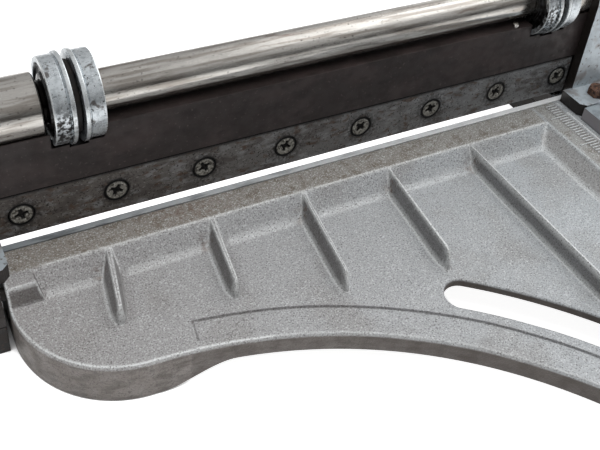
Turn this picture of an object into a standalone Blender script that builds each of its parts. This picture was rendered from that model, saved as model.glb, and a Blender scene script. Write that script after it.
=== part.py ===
"""Vinyl tile cutter, built from its separate pieces.

Metres, +Z up. The blade runs along X and the tile is fed in from the front, towards +Y.
The origin is on the flat top of the table bar, half way between the two end frames.
"""
import math

import bmesh
import bpy
from mathutils import Matrix, Vector

# Clearances and cutting allowance
FIT = 0.0003
OVERRUN = 0.002
SINK = 0.0008

# Table casting: the bar along the blade
FRAME_GAP = 0.3385
BAR_WIDTH = 0.0147
BAR_WALL_RUN = 0.0088
POCKET_DEPTH = 0.0113
PLATE_THICKNESS = 0.0042
GROUND_DROP = 0.0345
LIP_DROP = 0.0232
WALL_THICKNESS = 0.0055
WEB_THICKNESS = 0.0060
WEB_DROP = 0.0290
LEFT_END_GAP = 0.0025

# Table casting: lobe, arch, slot and lettering panel
ARCH_RADIUS = 0.2226
ARCH_CENTRE_FROM_LEFT_END = 0.0408
LOBE_RADIUS = 0.0508
TABLE_REACH = 0.0688
LIP_WIDTH = 0.0050
PANEL_RIM = 0.0050
PANEL_HEIGHT = 0.0110
PANEL_DEPTH = 0.0007
SLOT_RIM = 0.0062
SLOT_WIDTH = 0.0173
SLOT_START_DEG = 52.9
SLOT_END_DEG = 14.0
PANEL_START_DEG = 82.6
SEAT_DEPTH = 0.0003
PANEL_END_DEG = 9.0

# Table casting: arm with the scale, front foot and left lug
ARM_INSET = 0.0275
ARM_WALL_RUN = 0.0068
FRONT_FOOT_DEPTH = 0.0260
FRONT_CORNER_RADIUS = 0.0240
LUG_WIDTH = 0.0134
LUG_DEPTH = 0.0092
FOOT_END_X = 0.0860
FOOT_RAMP = 0.0200

# Ribs
RIB_COUNT = 5
RIB_FIRST_FROM_LEFT_END = 0.0487
RIB_PITCH = 0.0517
RIB_WIDTH = 0.0026
RIB_FLARE = 0.0028
RIB_TOP_DROP = 0.0006
RIB_NOSE_SLOPE = 0.0030
RIB_REACH = (0.0375, 0.0435, 0.0600, 0.0670, 0.1190)
RIB_NOSE_DROP = (0.0010, 0.0010, 0.0010, 0.0010, 0.0010)
RIB_FAN_DEG = (9.8, 7.6, 6.5, 4.5, 0.0)

# Lower blade
LOWER_BLADE_THICKNESS = 0.0035
LOWER_BLADE_HEIGHT = 0.0240
LOWER_SCREW_COUNT = 5
LOWER_SCREW_MARGIN = 0.0300

# Beam and upper blade
BLADE_GAP = 0.0005
BEAM_THICKNESS = 0.0220
BEAM_HEIGHT = 0.0507
BEAM_LIFT = 0.0053
TONGUE_LENGTH = 0.0088
BLADE_LIFT = 0.0033
BLADE_HEIGHT = 0.0243
BLADE_THICKNESS = 0.0032
BLADE_END_GAP = 0.0010
SCREW_COUNT = 8
SCREW_PITCH = 0.04445
SCREW_FIRST_FROM_FRAME = 0.0180
SCREW_HEAD = 0.0114
SCREW_SHANK = 0.0052
SCREW_LENGTH = 0.0130
SCREW_CONE = 0.0023
SCREW_LAND = 0.0003
CROSS_LENGTH = 0.0062
CROSS_WIDTH = 0.0013
CROSS_DEPTH = 0.0016
STUD_DIAMETER = 0.0034
STUD_HEIGHT = 0.0021
STUD_DEPTH = 0.0060
STUD_FROM_FRAME = 0.0492
STUD_FROM_FACE = 0.0024

# Crank: journals, eccentric rod and rollers
JOURNAL_DIAMETER = 0.0298
ROD_DIAMETER = 0.01905
ROD_END_DIAMETER = 0.0140
ECCENTRICITY = 0.0046
REST_LEAN_DEG = 45.0
ROD_TO_BEAM = 0.0006
ROD_BEHIND_FACE = 0.0115
ROD_SEAT = 0.0140
SADDLE_EXTRA = 0.0025
ROLLER_DIAMETER = 0.0400
ROLLER_FLANGE = 0.0418
ROLLER_WIDTH = 0.0095
ROLLER_FLANGE_WIDTH = 0.0022
ROLLER_RIM = 0.0024
ROLLER_DISH = 0.0016
ROLLER_ROUND = 0.0009
SPACER_DIAMETER = 0.0330
SPACER_WIDTH = 0.0036
LEFT_ROLLERS_FROM_FRAME = 0.0356
RIGHT_ROLLERS_FROM_FRAME = 0.0160
JOURNAL_TO_ROLLER = 0.0025
GRUB_DIAMETER = 0.0050
GRUB_BITE = 0.0020

# End frames
FRAME_WIDTH = 0.0300
FRAME_LIP = 0.0057
BOSS_RADIUS = 0.0210
PAD_HEIGHT = 0.0078
PAD_DEPTH = 0.0170
PAD_OVERHANG = 0.0062
PAD_CORNER = 0.0030
FRAME_REAR_REACH = 0.0400
FRAME_HEEL_HEIGHT = 0.0098
FRAME_WAIST = 0.0050
TOE_REACH = 0.0130
TOE_HEIGHT = 0.0060
BASE_BAR_HEIGHT = 0.0165
BUSH_WALL = 0.0020
GUIDE_FLOOR = 0.0060

# Gibs, adjusting screws and springs
GIB_THICKNESS = 0.0030
GIB_WIDTH = 0.0075
GIB_FOOT = 0.0040
GIB_HEIGHT = 0.0360
ADJUSTER_DIAMETER = 0.0060
ADJUSTER_HEAD = 0.0100
ADJUSTER_HEAD_HEIGHT = 0.0042
ADJUSTER_STANDOUT = 0.0030
ADJUSTER_SPACING = 0.0240
SPRING_DIAMETER = 0.0064
SPRING_WIRE = 0.0010
SPRING_TURNS = 7
SPRING_POCKET = 0.0080
SPRING_POCKET_DEPTH = 0.0090

# Bolts
BOLT_DIAMETER = 0.0060
BOLT_HEAD = 0.0100
BOLT_HEAD_HEIGHT = 0.0044
BOLT_DEPTH = 0.0100
PAD_BOLT_INSETS = (0.0103, 0.0228)
PAD_BOLT_BACK = 0.0098
SIDE_BOLT_DEPTH = 0.0100
SIDE_BOLT_DROP = 0.0062
SIDE_BOLT_BACK = 0.0055

# Fence
FENCE_WIDTH = 0.0120
FENCE_END_GAP = 0.0010
FENCE_SCREW_COUNT = 3
FENCE_SCREW_HEAD = 0.0076
FENCE_SCREW_SHANK = 0.0040
FENCE_SCREW_LENGTH = 0.0150
FENCE_FRONT_MARGIN = 0.0100
FENCE_SCREW_MARGIN = 0.0250

# Handle
HUB_DIAMETER = 0.0470
HUB_WIDTH = 0.0260
HUB_GAP = 0.0010
HUB_BOSS = 0.0260
HUB_BOSS_REACH = 0.0360
HANDLE_LEAN_DEG = 30.0
LEVER_DIAMETER = 0.0160
LEVER_LENGTH = 0.3000
LEVER_SEAT = 0.0120
GRIP_DIAMETER = 0.0280
GRIP_LENGTH = 0.1150
GRIP_END = 0.0050
COLLAR_DIAMETER = 0.0420
COLLAR_WIDTH = 0.0100

# Roundness of turned pieces
SEGMENTS = 28
SMALL_SEGMENTS = 16
HEX_SIDES = 6

# Places worked out from the sizes above
INNER_LEFT = -FRAME_GAP / 2
INNER_RIGHT = FRAME_GAP / 2
OUTER_LEFT = INNER_LEFT - FRAME_WIDTH
OUTER_RIGHT = INNER_RIGHT + FRAME_WIDTH
TABLE_LEFT = INNER_LEFT + LEFT_END_GAP
TABLE_RIGHT = OUTER_RIGHT
BAR_BACK = BAR_WIDTH / 2
BAR_FRONT = -BAR_WIDTH / 2
POCKET_FLOOR = -POCKET_DEPTH
PLATE_UNDER = POCKET_FLOOR - PLATE_THICKNESS
GROUND = -GROUND_DROP
BLADE_BACK = BAR_BACK + FIT + LOWER_BLADE_THICKNESS
SHEAR = BLADE_BACK + BLADE_GAP
ARCH_X = TABLE_LEFT + ARCH_CENTRE_FROM_LEFT_END
ARCH_Y = -TABLE_REACH - ARCH_RADIUS
LOBE_X = TABLE_LEFT + LOBE_RADIUS
LOBE_Y = -TABLE_REACH + LOBE_RADIUS
ARM_LEFT = INNER_RIGHT - ARM_INSET
FRONT_END = ARCH_Y - FRONT_FOOT_DEPTH
PANEL_INNER = ARCH_RADIUS + PANEL_RIM
PANEL_OUTER = PANEL_INNER + PANEL_HEIGHT
SLOT_INNER = PANEL_OUTER + SLOT_RIM
SLOT_OUTER = SLOT_INNER + SLOT_WIDTH
BEAM_FRONT = SHEAR
BEAM_BACK = SHEAR + BEAM_THICKNESS
BEAM_MIDDLE = SHEAR + BEAM_THICKNESS / 2
BEAM_TOP = BEAM_LIFT + BEAM_HEIGHT
BLADE_TOP = BLADE_LIFT + BLADE_HEIGHT
SCREW_Z = BLADE_LIFT + BLADE_HEIGHT / 2
ROD_Y = SHEAR + ROD_BEHIND_FACE
ROD_Z = BEAM_TOP + ROD_TO_BEAM + ROD_DIAMETER / 2
LEAN = math.radians(REST_LEAN_DEG)
SHAFT_Y = ROD_Y + ECCENTRICITY * math.cos(LEAN)
SHAFT_Z = ROD_Z - ECCENTRICITY * math.sin(LEAN)
SWAY = ECCENTRICITY * (1.0 - math.cos(LEAN))
SADDLE_RADIUS = ROLLER_DIAMETER / 2 + SADDLE_EXTRA
SADDLE_Y = ROD_Y - SWAY / 2
SADDLE_Z = ROD_Z + SADDLE_EXTRA - FIT
PAIR_WIDTH = 2 * ROLLER_WIDTH + SPACER_WIDTH
LEFT_PAIR = INNER_LEFT + LEFT_ROLLERS_FROM_FRAME
RIGHT_PAIR = INNER_RIGHT - RIGHT_ROLLERS_FROM_FRAME - PAIR_WIDTH
FRAME_FRONT = SHEAR - FIT - FRAME_LIP
FRAME_BACK = SHAFT_Y + BOSS_RADIUS
FRAME_REAR = SHAFT_Y + FRAME_REAR_REACH
FRAME_FOOT = GROUND + BASE_BAR_HEIGHT + FIT
PAD_FRONT = FRAME_FRONT - PAD_DEPTH
TOE_FRONT = BAR_FRONT - TOE_REACH
GUIDE_BACK = BEAM_BACK + 2 * FIT + GIB_THICKNESS
BUSH_OUTER = JOURNAL_DIAMETER / 2 + FIT + BUSH_WALL
BUSH_START = TONGUE_LENGTH + 4 * FIT
STROKE = 2 * ECCENTRICITY * math.sin(LEAN)
SPRING_X = TONGUE_LENGTH / 2
SPRING_LOW = -GUIDE_FLOOR - SPRING_POCKET_DEPTH
FENCE_LEFT = INNER_RIGHT - PAD_OVERHANG


def clear_scene():
    """Remove every object, so that the model starts from nothing."""
    for item in list(bpy.data.objects):
        bpy.data.objects.remove(item, do_unlink=True)


def material(name, colour, roughness, metallic):
    """Make one plain Principled finish."""
    made = bpy.data.materials.new(name)
    made.use_nodes = True
    shader = made.node_tree.nodes["Principled BSDF"]
    shader.inputs["Base Color"].default_value = (*colour, 1.0)
    shader.inputs["Roughness"].default_value = roughness
    shader.inputs["Metallic"].default_value = metallic
    made.diffuse_color = (*colour, 1.0)
    return made


def finish_mesh(name, bm, finish, smooth=False):
    """Turn a bmesh into a named object, with its faces pointing out."""
    bmesh.ops.recalc_face_normals(bm, faces=bm.faces)
    mesh = bpy.data.meshes.new(name)
    bm.to_mesh(mesh)
    bm.free()
    if smooth:
        mesh.shade_smooth()
        mesh.set_sharp_from_angle(angle=math.radians(35.0))
    mesh.materials.append(finish)
    made = bpy.data.objects.new(name, mesh)
    bpy.context.scene.collection.objects.link(made)
    return made


def prism(name, outline, low, high, axis, finish, smooth=False):
    """Extrude a flat outline along one axis: X takes (y, z) points, Y takes (x, z), Z takes (x, y)."""
    order = {"X": lambda a, b, c: (c, a, b), "Y": lambda a, b, c: (a, c, b), "Z": lambda a, b, c: (a, b, c)}[axis]
    bm = bmesh.new()
    near = [bm.verts.new(order(a, b, low)) for a, b in outline]
    far = [bm.verts.new(order(a, b, high)) for a, b in outline]
    bm.faces.new(near)
    bm.faces.new(list(reversed(far)))
    count = len(outline)
    for i in range(count):
        j = (i + 1) % count
        bm.faces.new((near[i], far[i], far[j], near[j]))
    return finish_mesh(name, bm, finish, smooth)


def block(name, low, high, finish):
    """Make a box between two corners."""
    outline = [(low[0], low[1]), (high[0], low[1]), (high[0], high[1]), (low[0], high[1])]
    return prism(name, outline, low[2], high[2], "Z", finish)


def facing(direction):
    """A rotation that points +Z along the direction, with exact numbers on the main axes."""
    ahead = Vector(direction).normalized()
    aside = Vector((0.0, 1.0, 0.0)) if abs(ahead.x) > 0.9 else Vector((1.0, 0.0, 0.0))
    across = aside - ahead * aside.dot(ahead)
    across.normalize()
    upward = ahead.cross(across)
    return Matrix((across, upward, ahead)).transposed().to_4x4()


def turned(name, profile, centre, direction, finish, segments=SEGMENTS, spin=0.0):
    """Turn a closed profile of (distance along the axis, radius) points about an axis."""
    bm = bmesh.new()
    place = Matrix.Translation(Vector(centre)) @ facing(direction)
    rings = []
    for along, radius in profile:
        if radius <= 0.0:
            rings.append([bm.verts.new(place @ Vector((0.0, 0.0, along)))])
            continue
        ring = []
        for i in range(segments):
            angle = spin + 2 * math.pi * i / segments
            ring.append(bm.verts.new(place @ Vector((radius * math.cos(angle), radius * math.sin(angle), along))))
        rings.append(ring)
    pairs = list(zip(rings, rings[1:]))
    if profile[0][1] > 0.0:
        pairs.append((rings[-1], rings[0]))
    for first, second in pairs:
        for i in range(segments):
            j = (i + 1) % segments
            corners = [first[i % len(first)], first[j % len(first)], second[j % len(second)], second[i % len(second)]]
            kept = [v for n, v in enumerate(corners) if v not in corners[:n]]
            if len(kept) > 2:
                bm.faces.new(kept)
    return finish_mesh(name, bm, finish, True)


def rod(name, start, direction, length, diameter, finish, segments=SEGMENTS, spin=0.0):
    """Make a plain round bar from its start point."""
    radius = diameter / 2
    profile = [(0.0, 0.0), (0.0, radius), (length, radius), (length, 0.0)]
    return turned(name, profile, start, direction, finish, segments, spin)


def tube(name, start, direction, length, outer, inner, finish, segments=SEGMENTS):
    """Make a round tube from its start point."""
    profile = [(0.0, inner / 2), (0.0, outer / 2), (length, outer / 2), (length, inner / 2)]
    return turned(name, profile, start, direction, finish, segments)


def combine(target, tool, operation):
    """Join a helper to a piece, or cut it out of the piece, with a live Boolean."""
    tool.hide_render = True
    tool.display_type = "WIRE"
    step = target.modifiers.new(operation.lower() + "_" + tool.name, "BOOLEAN")
    step.operation = operation
    step.solver = "EXACT"
    step.object = tool


def join(target, *tools):
    """Join helper solids to a piece."""
    for tool in tools:
        combine(target, tool, "UNION")


def cut(target, *tools):
    """Cut helper solids out of a piece."""
    for tool in tools:
        combine(target, tool, "DIFFERENCE")


def gather(name, tools, finish):
    """Put helper solids that don't touch each other into one mesh, so that they cut in one step."""
    bm = bmesh.new()
    for tool in tools:
        bm.from_mesh(tool.data)
        bpy.data.objects.remove(tool, do_unlink=True)
    return finish_mesh(name, bm, finish)


def arc(centre_x, centre_y, radius, start_deg, end_deg, steps):
    """Points along an arc, both ends included."""
    points = []
    for i in range(steps + 1):
        angle = math.radians(start_deg + (end_deg - start_deg) * i / steps)
        points.append((centre_x + radius * math.cos(angle), centre_y + radius * math.sin(angle)))
    return points


def axis_empty(name, place):
    """Mark a joint's axis."""
    made = bpy.data.objects.new(name, None)
    made.location = place
    bpy.context.scene.collection.objects.link(made)
    return made


def carry(empty, *pieces):
    """Parent pieces to the empty on their joint's axis, where they are."""
    for piece in pieces:
        piece.parent = empty
        piece.matrix_parent_inverse = Matrix.Translation(-Vector(empty.location))


def band_outline(inner, outer, start_deg, end_deg, steps):
    """A curved band about the arch's centre."""
    return arc(ARCH_X, ARCH_Y, outer, start_deg, end_deg, steps) + arc(ARCH_X, ARCH_Y, inner, end_deg, start_deg, steps)


def table_outline(inset=0.0):
    """The casting's plan: bar, left lobe, arch, front foot and arm."""
    left = TABLE_LEFT + inset
    right = TABLE_RIGHT - inset
    front = FRONT_END + inset
    points = [(left, BAR_BACK - inset), (left, LOBE_Y)]
    points += arc(LOBE_X, LOBE_Y, LOBE_RADIUS - inset, 180.0, 270.0, 14)[1:-1]
    points += arc(ARCH_X, ARCH_Y, ARCH_RADIUS + inset, 87.4, 0.0, 40)
    corner_x = ARCH_X + ARCH_RADIUS + FRONT_CORNER_RADIUS
    corner_y = FRONT_END + FRONT_CORNER_RADIUS
    points += arc(corner_x, corner_y, FRONT_CORNER_RADIUS - inset, 180.0, 270.0, 8)
    points += arc(right + inset - FRONT_CORNER_RADIUS, corner_y, FRONT_CORNER_RADIUS - inset, 270.0, 360.0, 8)
    points += [(right, BAR_BACK - inset)]
    return points


def rib_solid(index, finish):
    """One tapering rib: flared at its foot, falling to a nose, turned by its fan angle."""
    reach = RIB_REACH[index]
    top = -RIB_TOP_DROP
    nose = -RIB_NOSE_DROP[index]
    foot = POCKET_FLOOR - SINK
    start = BAR_FRONT + WALL_THICKNESS
    tip = BAR_FRONT - reach
    tip_top = tip + RIB_NOSE_SLOPE
    half = RIB_WIDTH / 2
    wide = half + RIB_FLARE
    slender = half + RIB_FLARE / 2
    rows = [
        (start, [(-wide, foot), (wide, foot), (half, top), (-half, top)]),
        (BAR_FRONT, [(-wide, foot), (wide, foot), (half, top), (-half, top)]),
        (tip_top, [(-slender, foot), (slender, foot), (half, nose), (-half, nose)]),
        (tip, [(-half, foot), (half, foot), (half / 2, nose - RIB_NOSE_SLOPE), (-half / 2, nose - RIB_NOSE_SLOPE)]),
    ]
    pivot = Vector((TABLE_LEFT + RIB_FIRST_FROM_LEFT_END + index * RIB_PITCH, BAR_FRONT, 0.0))
    turn = Matrix.Rotation(-math.radians(RIB_FAN_DEG[index]), 4, "Z")
    bm = bmesh.new()
    loops = []
    for y, section in rows:
        loops.append([bm.verts.new(pivot + turn @ Vector((x, y - BAR_FRONT, z))) for x, z in section])
    for first, second in zip(loops, loops[1:]):
        for i in range(len(first)):
            j = (i + 1) % len(first)
            bm.faces.new((first[i], first[j], second[j], second[i]))
    bm.faces.new(list(reversed(loops[0])))
    bm.faces.new(loops[-1])
    return finish_mesh(f"rib_{index + 1}_form", bm, finish)


def lower_screw_places():
    """Places along X of the screws that hold the lower blade."""
    first = TABLE_LEFT + LOWER_SCREW_MARGIN
    last = INNER_RIGHT - LOWER_SCREW_MARGIN
    return [first + (last - first) * i / (LOWER_SCREW_COUNT - 1) for i in range(LOWER_SCREW_COUNT)]


def fence_screw_places():
    """Places along Y of the fence's screws."""
    back = PAD_FRONT - FENCE_END_GAP - FENCE_SCREW_MARGIN
    front = FRONT_END + FENCE_FRONT_MARGIN + FENCE_SCREW_MARGIN
    return [back + (front - back) * i / (FENCE_SCREW_COUNT - 1) for i in range(FENCE_SCREW_COUNT)]


def side_bolt_places():
    """Places in Y and Z of the bolts from the left frame into the table's left end."""
    lug_middle = BAR_FRONT - LUG_DEPTH / 2
    return [(lug_middle, -SIDE_BOLT_DROP), (BAR_BACK - SIDE_BOLT_BACK, -SIDE_BOLT_DROP)]


def countersunk(name, place, direction, head, shank, length, cone, land, finish):
    """A flat-head screw, its head face on the given place and its shank along the direction."""
    profile = [(0.0, 0.0), (0.0, head / 2), (land, head / 2), (land + cone, shank / 2)]
    profile += [(length, shank / 2), (length, 0.0)]
    return turned(name, profile, place, direction, finish, SMALL_SEGMENTS)


def countersink_cutter(name, place, direction, head, shank, length, cone, land, finish):
    """The hole that a flat-head screw sits in, a fit larger all round."""
    wide = head / 2 + FIT
    narrow = shank / 2 + FIT
    profile = [(-OVERRUN, 0.0), (-OVERRUN, wide), (land + FIT / 2, wide), (land + cone + FIT / 2, narrow)]
    profile += [(length + FIT, narrow), (length + FIT, 0.0)]
    return turned(name, profile, place, direction, finish, SMALL_SEGMENTS)


def cross_recess(target, place, direction, finish):
    """Cut the cross for a screwdriver into a screw's head."""
    whole = Matrix.Translation(Vector(place)) @ facing(direction)
    for step, quarter in enumerate((0.25, 0.75)):
        bm = bmesh.new()
        bmesh.ops.create_cube(bm, size=1.0)
        size = Matrix.Diagonal((CROSS_LENGTH, CROSS_WIDTH, 2 * CROSS_DEPTH, 1.0))
        bmesh.ops.transform(bm, matrix=whole @ Matrix.Rotation(math.pi * quarter, 4, "Z") @ size, verts=bm.verts)
        cut(target, finish_mesh(f"{target.name}_cross_{step}", bm, finish))


def bolt(name, place, direction, length, finish, diameter=BOLT_DIAMETER, head=BOLT_HEAD, height=BOLT_HEAD_HEIGHT):
    """A hexagon-head bolt: the head's underside is on the place, the shank runs along the direction."""
    towards = Vector(direction)
    shank = rod(name, Vector(place) - towards * height / 2, direction, length + height / 2, diameter, finish, SMALL_SEGMENTS)
    face = Vector(place) - towards * height
    radius = head / math.sqrt(3.0)
    crown = height / 5
    profile = [(0.0, 0.0), (0.0, radius - crown), (crown, radius), (height, radius), (height, 0.0)]
    join(shank, turned(name + "_head", profile, face, direction, finish, HEX_SIDES))
    return shank


def bolt_hole(name, place, direction, length, finish, diameter=BOLT_DIAMETER):
    """The hole for a bolt's shank, a fit larger, from before its place to past its end."""
    towards = Vector(direction)
    return rod(name, Vector(place) - towards * OVERRUN, direction, length + OVERRUN + FIT, diameter + 2 * FIT,
               finish, SMALL_SEGMENTS)


def build_table(finish, helper):
    """The one-piece table casting, which carries everything that doesn't move."""
    table = prism("table_casting", table_outline(), PLATE_UNDER, POCKET_FLOOR, "Z", finish)
    deep = PLATE_UNDER - SINK
    bar = [(BAR_BACK, 0.0), (BAR_FRONT, 0.0), (BAR_FRONT - BAR_WALL_RUN, POCKET_FLOOR)]
    bar += [(BAR_FRONT - BAR_WALL_RUN, PLATE_UNDER + SINK), (BAR_BACK - WEB_THICKNESS, PLATE_UNDER + SINK)]
    bar += [(BAR_BACK - WEB_THICKNESS, -WEB_DROP), (BAR_BACK, -WEB_DROP)]
    arm = [(ARM_LEFT, 0.0), (TABLE_RIGHT, 0.0), (TABLE_RIGHT, -LIP_DROP), (TABLE_RIGHT - WALL_THICKNESS, -LIP_DROP)]
    arm += [(TABLE_RIGHT - WALL_THICKNESS, PLATE_UNDER + SINK), (ARM_LEFT - ARM_WALL_RUN, PLATE_UNDER + SINK)]
    arm += [(ARM_LEFT - ARM_WALL_RUN, POCKET_FLOOR)]
    arm_front = FRONT_END + FRONT_CORNER_RADIUS / 2
    join(table,
         prism("bar_form", bar, TABLE_LEFT, TABLE_RIGHT, "X", helper),
         prism("arm_form", arm, arm_front, BAR_BACK, "Y", helper),
         block("lug_form", (TABLE_LEFT, BAR_FRONT - LUG_DEPTH, PLATE_UNDER + SINK),
               (TABLE_LEFT + LUG_WIDTH, 0.0, 0.0), helper),
         prism("lip_form", band_outline(ARCH_RADIUS, ARCH_RADIUS + LIP_WIDTH, 86.0, 2.0, 36), -LIP_DROP,
               PLATE_UNDER + SINK, "Z", helper))
    shell = table_outline()
    hollow = table_outline(WALL_THICKNESS)
    for side, low_x, high_x, low_y in (("left", TABLE_LEFT - OVERRUN, FOOT_END_X + TABLE_LEFT, -TABLE_REACH - OVERRUN),
                                       ("front", ARCH_X + ARCH_RADIUS - OVERRUN, TABLE_RIGHT + OVERRUN,
                                        FRONT_END - OVERRUN)):
        wall = prism(f"{side}_foot_form", shell, GROUND, deep + 2 * SINK, "Z", helper)
        cut(wall, prism(f"{side}_foot_hollow", hollow, GROUND - OVERRUN, PLATE_UNDER + OVERRUN, "Z", helper))
        ramp = FOOT_RAMP if side == "left" else -FOOT_RAMP
        if side == "left":
            keep = [(low_x, GROUND - OVERRUN), (high_x - ramp, GROUND - OVERRUN), (high_x, PLATE_UNDER + OVERRUN)]
            keep += [(low_x, PLATE_UNDER + OVERRUN)]
            keeper = prism("left_foot_keep", keep, low_y, BAR_BACK - WEB_THICKNESS, "Y", helper)
        else:
            high_y = ARCH_Y
            keep = [(low_y, GROUND - OVERRUN), (high_y, GROUND - OVERRUN), (high_y - ramp, PLATE_UNDER + OVERRUN)]
            keep += [(low_y, PLATE_UNDER + OVERRUN)]
            keeper = prism("front_foot_keep", keep, low_x, high_x, "X", helper)
        combine(wall, keeper, "INTERSECT")
        join(table, wall)
    for index in range(RIB_COUNT):
        join(table, rib_solid(index, helper))
    slot = band_outline(SLOT_INNER, SLOT_OUTER, SLOT_START_DEG, SLOT_END_DEG, 20)
    middle = (SLOT_INNER + SLOT_OUTER) / 2
    ends = []
    for place, angle in (("start", SLOT_START_DEG), ("end", SLOT_END_DEG)):
        turn = math.radians(angle)
        centre = (ARCH_X + middle * math.cos(turn), ARCH_Y + middle * math.sin(turn), deep - OVERRUN)
        ends.append(rod(f"slot_{place}_cut", centre, (0, 0, 1), PLATE_THICKNESS + 2 * OVERRUN + 2 * SINK, SLOT_WIDTH,
                        helper))
    cut(table, prism("slot_cut", slot, deep - OVERRUN, POCKET_FLOOR + OVERRUN, "Z", helper), *ends)
    panel = band_outline(PANEL_INNER, PANEL_OUTER, PANEL_START_DEG, PANEL_END_DEG, 36)
    cut(table, prism("panel_cut", panel, POCKET_FLOOR - PANEL_DEPTH, POCKET_FLOOR + OVERRUN, "Z", helper))
    seat = FENCE_LEFT - FIT
    lug_seat = INNER_LEFT + PAD_OVERHANG + FIT
    cut(table, block("fence_seat_cut", (seat, FRONT_END - OVERRUN, -SEAT_DEPTH),
                     (TABLE_RIGHT + OVERRUN, BAR_BACK + OVERRUN, OVERRUN), helper),
        block("lug_seat_cut", (TABLE_LEFT - OVERRUN, PAD_FRONT - OVERRUN, -SEAT_DEPTH),
              (lug_seat, BAR_BACK + OVERRUN, OVERRUN), helper))
    for index, x in enumerate(lower_screw_places()):
        cut(table, bolt_hole(f"lower_hole_{index}", (x, BAR_BACK, -LOWER_BLADE_HEIGHT / 2), (0, -1, 0),
                             SCREW_LENGTH - LOWER_BLADE_THICKNESS, helper, SCREW_SHANK))
    for index, inset in enumerate(PAD_BOLT_INSETS):
        cut(table, bolt_hole(f"pad_hole_{index}", (INNER_RIGHT + inset, FRAME_FRONT - PAD_BOLT_BACK, 0.0), (0, 0, -1),
                             BOLT_DEPTH, helper))
    for index, (y, z) in enumerate(side_bolt_places()):
        cut(table, bolt_hole(f"side_hole_{index}", (TABLE_LEFT, y, z), (1, 0, 0), SIDE_BOLT_DEPTH, helper))
    for index, y in enumerate(fence_screw_places()):
        cut(table, bolt_hole(f"fence_hole_{index}", (FENCE_LEFT + FENCE_WIDTH / 2, y, 0.0), (0, 0, -1),
                             FENCE_SCREW_LENGTH - PAD_HEIGHT, helper, FENCE_SCREW_SHANK))
    return table


def build_lower_blade(steel, screw_finish, helper):
    """The fixed lower blade and its flush screws, put in from behind."""
    low = (TABLE_LEFT, BAR_BACK + FIT, -LOWER_BLADE_HEIGHT)
    high = (INNER_RIGHT - FIT, BLADE_BACK, 0.0)
    blade = block("lower_blade", low, high, steel)
    for index, x in enumerate(lower_screw_places()):
        place = (x, BLADE_BACK, -LOWER_BLADE_HEIGHT / 2)
        args = (SCREW_HEAD * 0.8, SCREW_SHANK, SCREW_LENGTH, SCREW_CONE * 0.8, SCREW_LAND)
        cut(blade, countersink_cutter(f"lower_sink_{index}", place, (0, -1, 0), *args, helper))
        countersunk(f"lower_blade_screw_{index + 1}", place, (0, -1, 0), *args, screw_finish)


def frame_profile(left):
    """An end frame's side view as (y, z) points: foot, front, round top and back."""
    if left:
        points = [(TOE_FRONT, FRAME_FOOT), (TOE_FRONT, FRAME_FOOT + TOE_HEIGHT)]
        points += [(BAR_FRONT - LUG_DEPTH, 0.0), (PAD_FRONT, FIT - SEAT_DEPTH), (PAD_FRONT, PAD_HEIGHT)]
        points += [(FRAME_FRONT, PAD_HEIGHT)]
    else:
        behind = BAR_BACK + FIT
        points = [(behind, FRAME_FOOT), (behind, FIT - SEAT_DEPTH), (FRAME_FRONT, FIT - SEAT_DEPTH)]
    points += arc(SHAFT_Y, SHAFT_Z, BOSS_RADIUS, 180.0, 0.0, 20)
    points += [(FRAME_BACK, FRAME_WAIST), (FRAME_REAR, FRAME_FOOT + FRAME_HEEL_HEIGHT), (FRAME_REAR, FRAME_FOOT)]
    return points


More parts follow.
